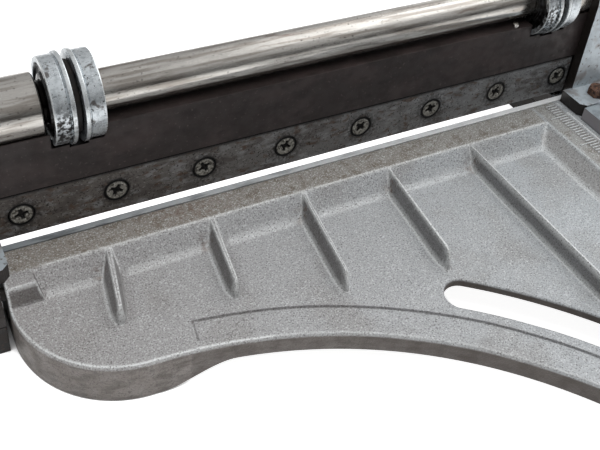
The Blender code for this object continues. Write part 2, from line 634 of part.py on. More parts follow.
def build_frame(left, aluminium, steel, dark, bronze, helper):
    """One end frame with its base bar, bush, gib, adjusting screws and bolts."""
    side = "left" if left else "right"
    out = -1.0 if left else 1.0
    inner = INNER_LEFT if left else INNER_RIGHT
    outer = OUTER_LEFT if left else OUTER_RIGHT
    frame = prism(f"{side}_end_frame", frame_profile(left), min(inner, outer), max(inner, outer), "X", aluminium)
    pad_in = inner - out * PAD_OVERHANG
    pad_out = outer if not left else inner - SINK
    x_low, x_high = min(pad_in, pad_out), max(pad_in, pad_out)
    corner_left = (x_low, PAD_FRONT + PAD_CORNER), (x_low + PAD_CORNER, PAD_FRONT)
    corner_right = (x_high - PAD_CORNER, PAD_FRONT), (x_high, PAD_FRONT + PAD_CORNER)
    pad = [*corner_left, *corner_right, (x_high, FRAME_FRONT + SINK), (x_low, FRAME_FRONT + SINK)]
    if left:
        pad = [(x_low, PAD_FRONT), *corner_right, (x_high, FRAME_FRONT + SINK), (x_low, FRAME_FRONT + SINK)]
    join(frame, prism(f"{side}_pad_form", pad, FIT - SEAT_DEPTH, PAD_HEIGHT, "Z", helper))
    guide_x = sorted((inner - out * OVERRUN, inner + out * (TONGUE_LENGTH + FIT)))
    guide_low = (guide_x[0], BEAM_FRONT - FIT, -GUIDE_FLOOR)
    cut(frame, block(f"{side}_guide_cut", guide_low, (guide_x[1], GUIDE_BACK, SHAFT_Z), helper))
    bore_start = (inner - out * OVERRUN, SHAFT_Y, SHAFT_Z)
    step_at = BUSH_START - FIT + OVERRUN
    narrow = JOURNAL_DIAMETER / 2 + FIT
    wide = BUSH_OUTER + FIT
    past = FRAME_WIDTH + 2 * OVERRUN
    bore = [(0.0, 0.0), (0.0, narrow), (step_at, narrow), (step_at, wide), (past, wide), (past, 0.0)]
    cut(frame, turned(f"{side}_bore_cut", bore, bore_start, (out, 0, 0), helper))
    tube(f"{side}_shaft_bush", (inner + out * BUSH_START, SHAFT_Y, SHAFT_Z), (out, 0, 0), FRAME_WIDTH - BUSH_START,
         2 * BUSH_OUTER, JOURNAL_DIAMETER + 2 * FIT, bronze)
    spring_place = (inner + out * SPRING_X, BEAM_MIDDLE, SPRING_LOW)
    cut(frame, rod(f"{side}_spring_cut", spring_place, (0, 0, 1), SPRING_POCKET_DEPTH + OVERRUN, SPRING_POCKET,
                   helper, SMALL_SEGMENTS))
    bar_front = TOE_FRONT if left else BAR_BACK + FIT
    base = block(f"{side}_base_bar", (min(inner, outer), bar_front, GROUND),
                 (max(inner, outer), FRAME_REAR, FRAME_FOOT - FIT), dark)
    gib_x = sorted((inner + out * FIT, inner + out * (FIT + GIB_WIDTH)))
    block(f"{side}_gib", (gib_x[0], BEAM_BACK + FIT, GIB_FOOT), (gib_x[1], BEAM_BACK + FIT + GIB_THICKNESS,
          GIB_FOOT + GIB_HEIGHT), bronze)
    middle = GIB_FOOT + GIB_HEIGHT / 2
    length = FRAME_BACK - GUIDE_BACK + ADJUSTER_STANDOUT
    for index, z in enumerate((middle - ADJUSTER_SPACING / 2, middle + ADJUSTER_SPACING / 2)):
        place = (inner + out * (FIT + GIB_WIDTH / 2), FRAME_BACK + ADJUSTER_STANDOUT, z)
        cut(frame, bolt_hole(f"{side}_adjuster_hole_{index}", place, (0, -1, 0), length + OVERRUN, helper,
                             ADJUSTER_DIAMETER))
        bolt(f"{side}_adjusting_screw_{index + 1}", place, (0, -1, 0), length, steel, ADJUSTER_DIAMETER,
             ADJUSTER_HEAD, ADJUSTER_HEAD_HEIGHT)
    if left:
        for index, (y, z) in enumerate(side_bolt_places()):
            place = (outer - FIT, y, z)
            reach = FRAME_WIDTH + LEFT_END_GAP + SIDE_BOLT_DEPTH
            cut(frame, bolt_hole(f"left_side_hole_{index}", (outer, y, z), (1, 0, 0), reach, helper))
            bolt(f"left_frame_bolt_{index + 1}", place, (1, 0, 0), reach, steel)
    else:
        for index, inset in enumerate(PAD_BOLT_INSETS):
            place = (inner + inset, FRAME_FRONT - PAD_BOLT_BACK, PAD_HEIGHT + FIT)
            cut(frame, bolt_hole(f"right_pad_hole_{index}", place, (0, 0, -1), PAD_HEIGHT + FIT, helper))
            bolt(f"right_frame_bolt_{index + 1}", place, (0, 0, -1), PAD_HEIGHT + BOLT_DEPTH, steel)
    return frame, base


def build_base_bolts(left, frame, base, steel, helper):
    """One countersunk screw that holds a base bar to its frame, from below."""
    side = "left" if left else "right"
    middle = (INNER_LEFT + OUTER_LEFT) / 2 if left else (INNER_RIGHT + OUTER_RIGHT) / 2
    place = (middle, FRAME_BACK, GROUND + FIT)
    length = BASE_BAR_HEIGHT + FRAME_HEEL_HEIGHT
    args = (BOLT_HEAD, BOLT_DIAMETER, length, SCREW_CONE, SCREW_LAND)
    cut(base, countersink_cutter(f"{side}_base_sink", place, (0, 0, 1), *args, helper))
    cut(frame, bolt_hole(f"{side}_base_hole", (middle, FRAME_BACK, FRAME_FOOT), (0, 0, 1),
                         length - BASE_BAR_HEIGHT, helper))
    countersunk(f"{side}_base_screw", place, (0, 0, 1), *args, steel)


def build_spring(left, steel):
    """A return spring: one unbroken wire, close-wound at both ends, under the beam's tongue."""
    side = "left" if left else "right"
    out = -1.0 if left else 1.0
    inner = INNER_LEFT if left else INNER_RIGHT
    centre = Vector((inner + out * SPRING_X, BEAM_MIDDLE, 0.0))
    low = SPRING_LOW + FIT + SPRING_WIRE / 2
    high = BEAM_LIFT - FIT - SPRING_WIRE / 2
    radius = (SPRING_DIAMETER - SPRING_WIRE) / 2
    steps = SPRING_TURNS * 9
    dead = 1.55 * SPRING_WIRE
    points = []
    for i in range(steps + 1):
        turn = i / 9
        if turn <= 1.0:
            z = low + dead * turn
        elif turn >= SPRING_TURNS - 1.0:
            z = high - dead * (SPRING_TURNS - turn)
        else:
            share = (turn - 1.0) / (SPRING_TURNS - 2.0)
            z = low + dead + (high - low - 2 * dead) * share
        angle = 2 * math.pi * turn
        points.append(centre + Vector((radius * math.cos(angle), radius * math.sin(angle), z)))
    curve = bpy.data.curves.new(f"{side}_return_spring", "CURVE")
    curve.dimensions = "3D"
    curve.bevel_depth = SPRING_WIRE / 2
    curve.bevel_resolution = 1
    curve.use_fill_caps = True
    path = curve.splines.new("POLY")
    path.points.add(len(points) - 1)
    for point, place in zip(path.points, points):
        point.co = (*place, 1.0)
    curve.materials.append(steel)
    made = bpy.data.objects.new(f"{side}_return_spring", curve)
    bpy.context.scene.collection.objects.link(made)
    gap = min((points[i] - points[j]).length for i in range(len(points)) for j in range(i + 6, len(points)))
    print(f"{side} spring: least gap between turns {(gap - SPRING_WIRE) * 1000:.2f} mm")
    return made


def build_fence(aluminium, steel, helper):
    """The fence that the tile's right edge lies against, and its screws."""
    back = PAD_FRONT - FENCE_END_GAP
    front = FRONT_END + FENCE_FRONT_MARGIN
    fence = block("fence_bar", (FENCE_LEFT, front, FIT - SEAT_DEPTH), (FENCE_LEFT + FENCE_WIDTH, back, PAD_HEIGHT),
                  aluminium)
    for index, y in enumerate(fence_screw_places()):
        place = (FENCE_LEFT + FENCE_WIDTH / 2, y, PAD_HEIGHT)
        args = (FENCE_SCREW_HEAD, FENCE_SCREW_SHANK, FENCE_SCREW_LENGTH, SCREW_CONE * 0.7, SCREW_LAND)
        cut(fence, countersink_cutter(f"fence_sink_{index}", place, (0, 0, -1), *args, helper))
        countersunk(f"fence_screw_{index + 1}", place, (0, 0, -1), *args, steel)


def screw_places():
    """Places along X of the upper blade's screws."""
    first = INNER_LEFT + SCREW_FIRST_FROM_FRAME
    return [first + i * SCREW_PITCH for i in range(SCREW_COUNT)]


def saddle_profile(journal_after):
    """The groove that a roller pair turns in, deeper for the flanges, run out to the journal's groove."""
    low = ROLLER_WIDTH - ROLLER_FLANGE_WIDTH - FIT
    high = PAIR_WIDTH - low
    deep = SADDLE_RADIUS + (ROLLER_FLANGE - ROLLER_DIAMETER) / 2 + FIT
    start = -FIT if journal_after else -JOURNAL_TO_ROLLER
    end = PAIR_WIDTH + (JOURNAL_TO_ROLLER if journal_after else FIT)
    profile = [(start, 0.0), (start, SADDLE_RADIUS), (low, SADDLE_RADIUS), (low, deep), (high, deep)]
    profile += [(high, SADDLE_RADIUS), (end, SADDLE_RADIUS), (end, 0.0)]
    return profile


def build_beam(empty, iron, blade_steel, screw_finish, steel, helper):
    """The sliding beam with its let-in upper blade, screws and stop stud."""
    left_end = INNER_LEFT - TONGUE_LENGTH
    right_end = INNER_RIGHT + TONGUE_LENGTH
    beam = block("beam", (left_end, BEAM_FRONT, BEAM_LIFT), (right_end, BEAM_BACK, BEAM_TOP), iron)
    spare = JOURNAL_TO_ROLLER + OVERRUN
    ends = ((left_end - OVERRUN, LEFT_PAIR - spare / 2), (RIGHT_PAIR + PAIR_WIDTH + spare / 2, right_end + OVERRUN))
    for index, (start, end) in enumerate(ends):
        cut(beam, rod(f"journal_saddle_{index}", (start, SHAFT_Y, SHAFT_Z), (1, 0, 0), end - start,
                      JOURNAL_DIAMETER + 3 * FIT, helper))
    for index, start in enumerate((LEFT_PAIR, RIGHT_PAIR)):
        cut(beam, turned(f"roller_saddle_{index}", saddle_profile(index == 1), (start, SADDLE_Y, SADDLE_Z), (1, 0, 0),
                         helper))
    blade_left = INNER_LEFT + BLADE_END_GAP
    blade_right = INNER_RIGHT - BLADE_END_GAP
    recess_low = (blade_left - FIT, BEAM_FRONT - OVERRUN, BEAM_LIFT - OVERRUN)
    recess_high = (blade_right + FIT, BEAM_FRONT + BLADE_THICKNESS + FIT, BLADE_TOP + FIT)
    cut(beam, block("blade_recess_cut", recess_low, recess_high, helper))
    blade = block("upper_blade", (blade_left, BEAM_FRONT, BLADE_LIFT),
                  (blade_right, BEAM_FRONT + BLADE_THICKNESS, BLADE_TOP), blade_steel)
    pieces = [beam, blade]
    args = (SCREW_HEAD, SCREW_SHANK, SCREW_LENGTH, SCREW_CONE, SCREW_LAND)
    places = [(x, BEAM_FRONT, SCREW_Z) for x in screw_places()]
    sinks = [countersink_cutter("blade_sink", place, (0, 1, 0), *args, helper) for place in places]
    holes = gather("blade_screw_holes", sinks, helper)
    cut(blade, holes)
    cut(beam, holes)
    for index, place in enumerate(places):
        screw = countersunk(f"blade_screw_{index + 1}", place, (0, 1, 0), *args, screw_finish)
        cross_recess(screw, place, (0, 1, 0), helper)
        pieces.append(screw)
    stud_place = (INNER_RIGHT - STUD_FROM_FRAME, BEAM_FRONT + STUD_FROM_FACE, BEAM_TOP + STUD_HEIGHT)
    cut(beam, bolt_hole("stud_hole", stud_place, (0, 0, -1), STUD_HEIGHT + STUD_DEPTH, helper, STUD_DIAMETER))
    pieces.append(rod("beam_stud", stud_place, (0, 0, -1), STUD_HEIGHT + STUD_DEPTH, STUD_DIAMETER, steel,
                      SMALL_SEGMENTS))
    carry(empty, *pieces)


def roller_profile(flange_first):
    """A flanged roller's section: dished outer face, rounded rim and a narrow flange."""
    outer = ROLLER_DIAMETER / 2
    flange = ROLLER_FLANGE / 2
    bore = ROD_DIAMETER / 2 + FIT
    plain = ROLLER_WIDTH - ROLLER_FLANGE_WIDTH
    dish = outer - ROLLER_RIM
    hub = bore + ROLLER_RIM
    soft = ROLLER_ROUND
    profile = [(0.0, bore), (0.0, hub), (ROLLER_DISH, hub), (ROLLER_DISH, dish), (0.0, dish), (0.0, outer - soft)]
    profile += [(soft, outer), (plain, outer), (plain, flange - soft / 3), (plain + soft / 3, flange)]
    profile += [(ROLLER_WIDTH - soft / 3, flange), (ROLLER_WIDTH, flange - soft / 3), (ROLLER_WIDTH, bore)]
    if flange_first:
        profile = [(ROLLER_WIDTH - along, radius) for along, radius in reversed(profile)]
    return profile


def build_crank(crank_empty, roller_empty, steel, zinc, dark, helper):
    """Journals, eccentric rod, their grub screws, the rollers, spacers and the retaining collar."""
    journal_in_left = LEFT_PAIR - JOURNAL_TO_ROLLER
    journal_in_right = RIGHT_PAIR + PAIR_WIDTH + JOURNAL_TO_ROLLER
    rod_left = journal_in_left - ROD_SEAT
    rod_right = journal_in_right + ROD_SEAT
    journal_left_end = OUTER_LEFT - HUB_GAP - COLLAR_WIDTH
    journal_right_end = OUTER_RIGHT + HUB_GAP + HUB_WIDTH
    length = rod_right - rod_left
    thin = ROD_END_DIAMETER / 2
    full = ROD_DIAMETER / 2
    near = ROD_SEAT + FIT
    profile = [(0.0, 0.0), (0.0, thin), (near, thin), (near, full), (length - near, full), (length - near, thin)]
    profile += [(length, thin), (length, 0.0)]
    shaft = turned("eccentric_rod", profile, (rod_left, ROD_Y, ROD_Z), (1, 0, 0), steel)
    left = rod("left_journal", (journal_left_end, SHAFT_Y, SHAFT_Z), (1, 0, 0), journal_in_left - journal_left_end,
               JOURNAL_DIAMETER, steel)
    right = rod("right_journal", (journal_in_right, SHAFT_Y, SHAFT_Z), (1, 0, 0),
                journal_right_end - journal_in_right, JOURNAL_DIAMETER, steel)
    socket = (rod_left - FIT, ROD_Y, ROD_Z)
    socket_rod = rod("rod_socket_cut", socket, (1, 0, 0), length + 2 * FIT, ROD_END_DIAMETER + 2 * FIT, helper)
    cut(left, socket_rod)
    cut(right, socket_rod)
    pieces = [shaft, left, right]
    back = (0.0, math.cos(LEAN), -math.sin(LEAN))
    reach = JOURNAL_DIAMETER / 2
    depth = reach - FIT + ECCENTRICITY - ROD_END_DIAMETER / 2 + GRUB_BITE
    for side, journal, x in (("left", left, rod_left + ROD_SEAT / 2), ("right", right, rod_right - ROD_SEAT / 2)):
        face = Vector((x, SHAFT_Y, SHAFT_Z)) + Vector(back) * (reach - FIT)
        inwards = -Vector(back)
        hole = bolt_hole(f"{side}_grub_hole", face, inwards, depth, helper, GRUB_DIAMETER)
        cut(journal, hole)
        cut(shaft, hole)
        pieces.append(rod(f"{side}_grub_screw", face, inwards, depth, GRUB_DIAMETER, dark, SMALL_SEGMENTS))
    collar = tube("left_collar", (OUTER_LEFT - HUB_GAP - COLLAR_WIDTH + FIT, SHAFT_Y, SHAFT_Z), (1, 0, 0),
                  COLLAR_WIDTH - FIT, COLLAR_DIAMETER, JOURNAL_DIAMETER + 2 * FIT, steel)
    pieces.append(collar)
    carry(crank_empty, *pieces)
    rollers = []
    for side, start in (("left", LEFT_PAIR), ("right", RIGHT_PAIR)):
        first = (start, ROD_Y, ROD_Z)
        second = (start + ROLLER_WIDTH + SPACER_WIDTH, ROD_Y, ROD_Z)
        outer_first = "outer" if side == "left" else "inner"
        outer_second = "inner" if side == "left" else "outer"
        rollers.append(turned(f"{side}_{outer_first}_roller", roller_profile(False), first, (1, 0, 0), zinc))
        rollers.append(turned(f"{side}_{outer_second}_roller", roller_profile(True), second, (1, 0, 0), zinc))
        spacer = tube(f"{side}_roller_spacer", (start + ROLLER_WIDTH + FIT, ROD_Y, ROD_Z), (1, 0, 0),
                      SPACER_WIDTH - 2 * FIT, SPACER_DIAMETER, ROD_DIAMETER + 2 * FIT, dark)
        carry(crank_empty, spacer)
    carry(roller_empty, *rollers)


def build_handle(empty, iron, steel, rubber, dark, helper):
    """Hub on the right journal, lever, rubber grip and the hub's set screw."""
    start = OUTER_RIGHT + HUB_GAP
    middle = start + HUB_WIDTH / 2
    lean = math.radians(HANDLE_LEAN_DEG)
    up = Vector((0.0, math.sin(lean), math.cos(lean)))
    axis = Vector((middle, SHAFT_Y, SHAFT_Z))
    hub = tube("handle_hub", (start, SHAFT_Y, SHAFT_Z), (1, 0, 0), HUB_WIDTH, HUB_DIAMETER,
               JOURNAL_DIAMETER + 2 * FIT, iron)
    boss_start = JOURNAL_DIAMETER / 2 + BUSH_WALL
    join(hub, rod("hub_boss_form", axis + up * boss_start, up, HUB_BOSS_REACH - boss_start, HUB_BOSS * 0.92, helper))
    seat = HUB_BOSS_REACH - LEVER_SEAT
    cut(hub, rod("lever_socket_cut", axis + up * (seat - FIT), up, LEVER_SEAT + OVERRUN, LEVER_DIAMETER + 2 * FIT,
                 helper))
    lever = rod("lever", axis + up * seat, up, LEVER_LENGTH, LEVER_DIAMETER, steel)
    grip_start = seat + LEVER_LENGTH - GRIP_LENGTH + GRIP_END
    soft = GRIP_DIAMETER / 2
    end = GRIP_LENGTH
    hole = LEVER_DIAMETER / 2 + FIT
    profile = [(0.0, hole), (0.0, soft * 0.9), (soft * 0.12, soft), (end - soft * 0.5, soft), (end - soft * 0.15, soft * 0.85)]
    profile += [(end, soft * 0.5), (end, 0.0), (end - GRIP_END + FIT, 0.0), (end - GRIP_END + FIT, hole)]
    grip = grip_solid("grip", profile, axis + up * grip_start, up, rubber)
    side = Vector((0.0, -math.cos(lean), math.sin(lean)))
    face = axis + side * (HUB_DIAMETER / 2 - FIT)
    depth = HUB_DIAMETER / 2 - JOURNAL_DIAMETER / 2 - 2 * FIT
    cut(hub, bolt_hole("hub_screw_hole", face, -side, depth + OVERRUN, helper, GRUB_DIAMETER))
    screw = rod("hub_set_screw", face, -side, depth - FIT, GRUB_DIAMETER, dark, SMALL_SEGMENTS)
    carry(empty, hub, lever, grip, screw)


def grip_solid(name, profile, centre, direction, finish):
    """A turned cap: its profile starts and ends on the bore, so the far end is closed."""
    return turned(name, [*profile[-2:], *profile[:-2]] if profile[0][1] <= 0.0 else closed_cap(profile), centre,
                  direction, finish)


def closed_cap(profile):
    """Start a blind cap's profile on the axis, at the floor of its bore."""
    floor = next(i for i, point in enumerate(profile) if point[1] <= 0.0)
    return [*profile[floor + 1:], *profile[:floor + 1]]


def main():
    """Build every piece."""
    clear_scene()
    cast = material("cast_aluminium", (0.33, 0.33, 0.33), 0.55, 0.9)
    frame_metal = material("frame_aluminium", (0.55, 0.58, 0.60), 0.42, 0.9)
    iron = material("browned_steel", (0.032, 0.026, 0.026), 0.5, 0.8)
    blade_steel = material("blade_steel", (0.075, 0.072, 0.066), 0.45, 0.85)
    screw_finish = material("screw_steel", (0.16, 0.16, 0.14), 0.4, 0.9)
    steel = material("bright_steel", (0.5, 0.48, 0.45), 0.25, 1.0)
    zinc = material("zinc_plate", (0.42, 0.45, 0.46), 0.35, 0.95)
    dark = material("black_steel", (0.02, 0.018, 0.017), 0.55, 0.7)
    bronze = material("bearing_bronze", (0.35, 0.2, 0.08), 0.35, 1.0)
    rubber = material("black_rubber", (0.012, 0.012, 0.012), 0.7, 0.0)
    helper = material("helper", (0.8, 0.1, 0.1), 0.5, 0.0)
    build_table(cast, helper)
    build_lower_blade(blade_steel, screw_finish, helper)
    for left in (True, False):
        frame, base = build_frame(left, frame_metal, steel, dark, bronze, helper)
        build_base_bolts(left, frame, base, steel, helper)
        build_spring(left, steel)
    build_fence(frame_metal, steel, helper)
    crank_empty = axis_empty("crank_axis", (0.0, SHAFT_Y, SHAFT_Z))
    roller_empty = axis_empty("roller_axis", (0.0, ROD_Y, ROD_Z))
    beam_empty = axis_empty("beam_slide", (0.0, BEAM_MIDDLE, BEAM_LIFT))
    carry(crank_empty, roller_empty)
    build_beam(beam_empty, iron, blade_steel, screw_finish, steel, helper)
    build_crank(crank_empty, roller_empty, steel, zinc, dark, helper)
    build_handle(crank_empty, iron, steel, rubber, dark, helper)


main()
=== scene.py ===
"""The finish of the vinyl tile cutter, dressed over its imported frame.

Sizes are in millimetres and the frame is in metres. X runs along the blade, Y from the front to the back
and Z up. The origin is on the flat top of the table's bar, half way between the two end frames.
"""
import logging
import math
from collections.abc import Sequence
from dataclasses import dataclass, field
from enum import Enum
from typing import Any

import bmesh
import bpy
import numpy as np
from mathutils import Matrix, Vector
from mathutils.geometry import delaunay_2d_cdt


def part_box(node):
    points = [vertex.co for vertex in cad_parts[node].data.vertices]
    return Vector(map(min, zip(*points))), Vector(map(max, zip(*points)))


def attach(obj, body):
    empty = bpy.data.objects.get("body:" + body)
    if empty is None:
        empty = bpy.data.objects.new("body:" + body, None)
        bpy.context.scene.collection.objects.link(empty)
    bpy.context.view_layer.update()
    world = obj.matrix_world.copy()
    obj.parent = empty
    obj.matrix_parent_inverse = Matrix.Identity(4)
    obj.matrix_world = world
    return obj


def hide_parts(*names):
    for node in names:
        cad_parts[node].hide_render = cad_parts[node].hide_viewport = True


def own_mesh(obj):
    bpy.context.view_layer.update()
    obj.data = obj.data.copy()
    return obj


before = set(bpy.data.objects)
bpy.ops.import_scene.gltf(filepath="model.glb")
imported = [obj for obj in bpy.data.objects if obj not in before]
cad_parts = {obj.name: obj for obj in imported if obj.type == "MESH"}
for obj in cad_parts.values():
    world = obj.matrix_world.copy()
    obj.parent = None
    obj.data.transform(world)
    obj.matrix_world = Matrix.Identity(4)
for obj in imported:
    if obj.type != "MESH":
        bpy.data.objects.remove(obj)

Array = np.ndarray
LOG = logging.getLogger("tile_cutter")
MM = 0.001
# Points nearer than this are merged and shorter edges than this are dropped, in metres.
WELD, SLIVER = 2e-6, 1e-7
# The crank's axis at rest, in Y and Z.
SHAFT = (26.4027, 62.8723)
# Settings of the nodes that are used most.
SMOOTH = {"interpolation_type": "SMOOTHSTEP"}
PLUS, TIMES, LARGER = {"operation": "ADD"}, {"operation": "MULTIPLY"}, {"operation": "MAXIMUM"}


class Body(Enum):
    """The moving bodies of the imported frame."""

    FRAME = "cutter_frame"
    CRANK = "crank"
    BEAM = "cutting_beam"
    LEFT_OUTER = "left_outer_roller_body"
    LEFT_INNER = "left_inner_roller_body"
    RIGHT_INNER = "right_inner_roller_body"
    RIGHT_OUTER = "right_outer_roller_body"


class Slot(Enum):
    """The record's material slots."""

    CAST = "cast"
    FRAME = "frame_metal"
    IRON = "iron"
    BLADE = "blade_steel"
    SCREW = "screw_steel"
    BRIGHT = "bright_steel"
    ZINC = "zinc"
    DARK = "dark_steel"
    BRONZE = "bronze"
    RUBBER = "rubber"


class Axis(Enum):
    """A main direction, with the two directions across it."""

    X = ((1.0, 0.0, 0.0), (0.0, 1.0, 0.0), (0.0, 0.0, 1.0))
    Y = ((0.0, 1.0, 0.0), (0.0, 0.0, 1.0), (1.0, 0.0, 0.0))
    Z = ((0.0, 0.0, 1.0), (1.0, 0.0, 0.0), (0.0, 1.0, 0.0))


# Finishes


def linear(shade: str) -> tuple[float, float, float, float]:
    """Turn an sRGB hex colour into the linear one that a shader takes.

    Args:
        shade: The colour, as #RRGGBB.

    Returns:
        Red, green, blue and full alpha.
    """
    parts = np.array([int(shade[i:i + 2], 16) for i in (1, 3, 5)]) / 255.0
    straight = np.where(parts <= 0.04045, parts / 12.92, ((parts + 0.055) / 1.055) ** 2.4)
    return (*straight.tolist(), 1.0)


def add_node(tree: bpy.types.NodeTree, kind: str, settings: dict[str, Any] | None = None,
             values: dict[Any, Any] | None = None, links: dict[Any, Any] | None = None) -> bpy.types.Node:
    """Add one node with its settings, values and links.

    Args:
        tree: The node tree that takes it.
        kind: The node's type, without Blender's prefix.
        settings: Values of the node's own properties.
        values: Values of its unlinked inputs.
        links: What feeds each linked input: an output, or a node that gives its first output.

    Returns:
        The new node.
    """
    node = tree.nodes.new("ShaderNode" + kind)
    for key, value in (settings or {}).items():
        setattr(node, key, value)
    for key, value in (values or {}).items():
        node.inputs[key].default_value = value
    for key, source in (links or {}).items():
        tree.links.new(source.outputs[0] if isinstance(source, bpy.types.Node) else source, node.inputs[key])
    return node


def limits(low: float, high: float, first: float = 0.0, last: float = 1.0) -> dict[str, float]:
    """The values of a range that goes from first at low to last at high."""
    return {"From Min": low, "From Max": high, "To Min": first, "To Max": last}


@dataclass(frozen=True)
class Patch:
    """Where something lies: in cloudy patches of a real size, or as a mark says, or in the marked patches."""

    size: float = 0.0
    start: float = 0.45
    full: float = 0.6
    detail: float = 3.0
    stretch: tuple[float, float, float] = (1.0, 1.0, 1.0)
    shift: float = 0.0
    attribute: str = ""
    strength: float = 1.0

    def mask(self, tree: bpy.types.NodeTree, place: Any) -> bpy.types.Node:
        """Lay the patches.

        Args:
            tree: The material's node tree.
            place: The output that gives the place on the piece.

        Returns:
            The node that gives the mask, from 0 where there is nothing to the patches' strength.
        """
        found = None
        if self.size > 0.0:
            turned = {"Scale": tuple(1.0 / part for part in self.stretch), "Location": (self.shift,) * 3}
            spot = add_node(tree, "Mapping", values=turned, links={"Vector": place})
            noise = {"Scale": 1.0 / (self.size * MM), "Detail": self.detail}
            cloud = add_node(tree, "TexNoise", values=noise, links={"Vector": spot})
            bounds = limits(self.start, self.full, 0.0, self.strength)
            found = add_node(tree, "MapRange", SMOOTH, bounds, {0: cloud})
        if self.attribute:
            mark = add_node(tree, "Attribute", {"attribute_name": self.attribute}).outputs["Fac"]
            if found is None:
                found = add_node(tree, "Math", TIMES, {1: self.strength}, {0: mark})
            else:
                found = add_node(tree, "Math", TIMES, links={0: mark, 1: found})
        return found


@dataclass(frozen=True)
class Coat:
    """A colour that lies on the metal in patches."""

    shade: str
    patch: Patch


@dataclass(frozen=True)
class Grain:
    """Unevenness of a real size and height, which bends the light but not the mesh."""

    size: float
    height: float
    detail: float = 2.0
    stretch: tuple[float, float, float] = (1.0, 1.0, 1.0)

    def mask(self, tree: bpy.types.NodeTree, place: Any) -> bpy.types.Node:
        """The node that gives the height as a share of the full one."""
        return Patch(self.size, 0.3, 0.7, self.detail, self.stretch).mask(tree, place)


@dataclass(frozen=True)
class Finish:
    """One real surface: its base colour, the coats over it, its gloss and its grain."""

    name: str
    shade: str
    metallic: float
    roughness: tuple[float, float]
    coats: tuple[Coat, ...] = ()
    grains: tuple[Grain, ...] = ()
    gloss: Patch = field(default_factory=lambda: Patch(6.0, 0.35, 0.65))

    def material(self) -> bpy.types.Material:
        """Make the material once, and return it each time it is asked for."""
        made = bpy.data.materials.get(self.name)
        if made:
            return made
        made = bpy.data.materials.new(self.name)
        made.use_nodes = True
        tree = made.node_tree
        shader = tree.nodes["Principled BSDF"]
        shader.inputs["Metallic"].default_value = self.metallic
        place = add_node(tree, "TexCoord").outputs["Object"]
        colour = add_node(tree, "RGB")
        colour.outputs[0].default_value = linear(self.shade)
        colour = colour.outputs[0]
        for coat in self.coats:
            mixed = add_node(tree, "Mix", {"data_type": "RGBA"}, {7: linear(coat.shade)},
                             {0: coat.patch.mask(tree, place), 6: colour})
            colour = mixed.outputs[2]
        tree.links.new(colour, shader.inputs["Base Color"])
        gloss = self.gloss.mask(tree, place)
        spread = add_node(tree, "MapRange", None, limits(0.0, 1.0, *self.roughness), {0: gloss})
        tree.links.new(spread.outputs[0], shader.inputs["Roughness"])
        normal = None
        for grain in self.grains:
            links = {"Height": grain.mask(tree, place)}
            if normal is not None:
                links["Normal"] = normal
            normal = add_node(tree, "Bump", values={"Distance": grain.height * MM}, links=links).outputs[0]
        if normal is not None:
            tree.links.new(normal, shader.inputs["Normal"])
        return made


# Sand-cast aluminium, left as it came from the mould: a pale grey skin with a fine even grain, bright where
# handling has rubbed its edges, with painted highlights along its rims, fillets and ridge, brown where dirt
# has settled, darker on its walls, partly a smoother skin and partly painted shade, with painted shade on its
# steep faces, in its slot and beside its ribs, and a warmer painted shade towards its left end.
CAST = Finish(
    "sand_cast_aluminium", "#B3B8BC", 0.25, (0.42, 0.62),
    coats=(
        Coat("#A39F9E", Patch(attribute="painted_warm_shade", strength=0.9)),
        Coat("#8F8B88", Patch(30.0, 0.48, 0.68, 5.0, strength=0.4)),
        Coat("#8A8275", Patch(attribute="bar", strength=0.62)),
        Coat("#6F6557", Patch(4.5, 0.52, 0.66, 6.0, shift=0.2, attribute="bar", strength=0.6)),
        Coat("#DCDFDF", Patch(0.75, 0.50, 0.70, 3.0, shift=0.31, strength=0.72)),
        Coat("#7F7771", Patch(attribute="side", strength=0.85)),
        Coat("#57504B", Patch(3.0, 0.42, 0.66, 6.0, (2.6, 2.6, 1.0), attribute="side", strength=0.6)),
        Coat("#4A423D", Patch(attribute="painted_shade")),
        Coat("#6A4C38", Patch(2.4, 0.42, 0.62, 5.0, attribute="rust", strength=0.8)),
        Coat("#F2F4F4", Patch(attribute="wear_and_highlight")),
        Coat("#4F4B49", Patch(0.75, 0.49, 0.72, 3.0, strength=0.72)),
        Coat("#3F3735", Patch(attribute="hollow_shade")),
    ),
    grains=(Grain(0.8, 0.12), Grain(5.0, 0.10, 3.0)),
)
# Cast aluminium, wiped clean and a little polished by use: bluish white, with dull scuffs and brown stains,
# and near black painted shade on the faces of a piece that turn away from the light.
FRAME_METAL = Finish(
    "wiped_cast_aluminium", "#BAC3C9", 0.35, (0.3, 0.46),
    coats=(
        Coat("#A2ABB1", Patch(7.0, 0.45, 0.65, 4.0, strength=0.7)),
        Coat("#857A74", Patch(9.0, 0.54, 0.70, 5.0, strength=0.65)),
        Coat("#5B4F49", Patch(2.2, 0.60, 0.70, 3.0, shift=0.4, strength=0.8)),
        Coat("#2B2624", Patch(attribute="grime_and_shade")),
    ),
    grains=(Grain(1.3, 0.05), Grain(8.0, 0.1, 3.0)),
)
# Aluminium bar with a dull grey anodised skin in darker patches, and a warmer grey painted on its left side
# as shade.
FENCE_METAL = Finish(
    "dull_anodised_aluminium", "#98A2A8", 0.3, (0.4, 0.55),
    coats=(Coat("#7E868B", Patch(8.0, 0.45, 0.65, 4.0)), Coat("#A09CA0", Patch(attribute="grime_and_shade"))),
    grains=(Grain(0.9, 0.03),),
)
# Mild steel with a browned, oily skin: nearly black, faintly red, worn greyer where it is rubbed.
BROWNED = Finish(
    "browned_mild_steel", "#2F2827", 0.3, (0.42, 0.62),
    coats=(
        Coat("#3B3231", Patch(16.0, 0.45, 0.65, 5.0, (1.6, 1.0, 1.0))),
        Coat("#221C1B", Patch(6.0, 0.5, 0.7, 5.0, (2.0, 1.0, 1.0), 0.2, strength=0.7)),
        Coat("#5A4E4D", Patch(1.6, 0.62, 0.74, 3.0, strength=0.5)),
    ),
    grains=(Grain(0.8, 0.02),),
)
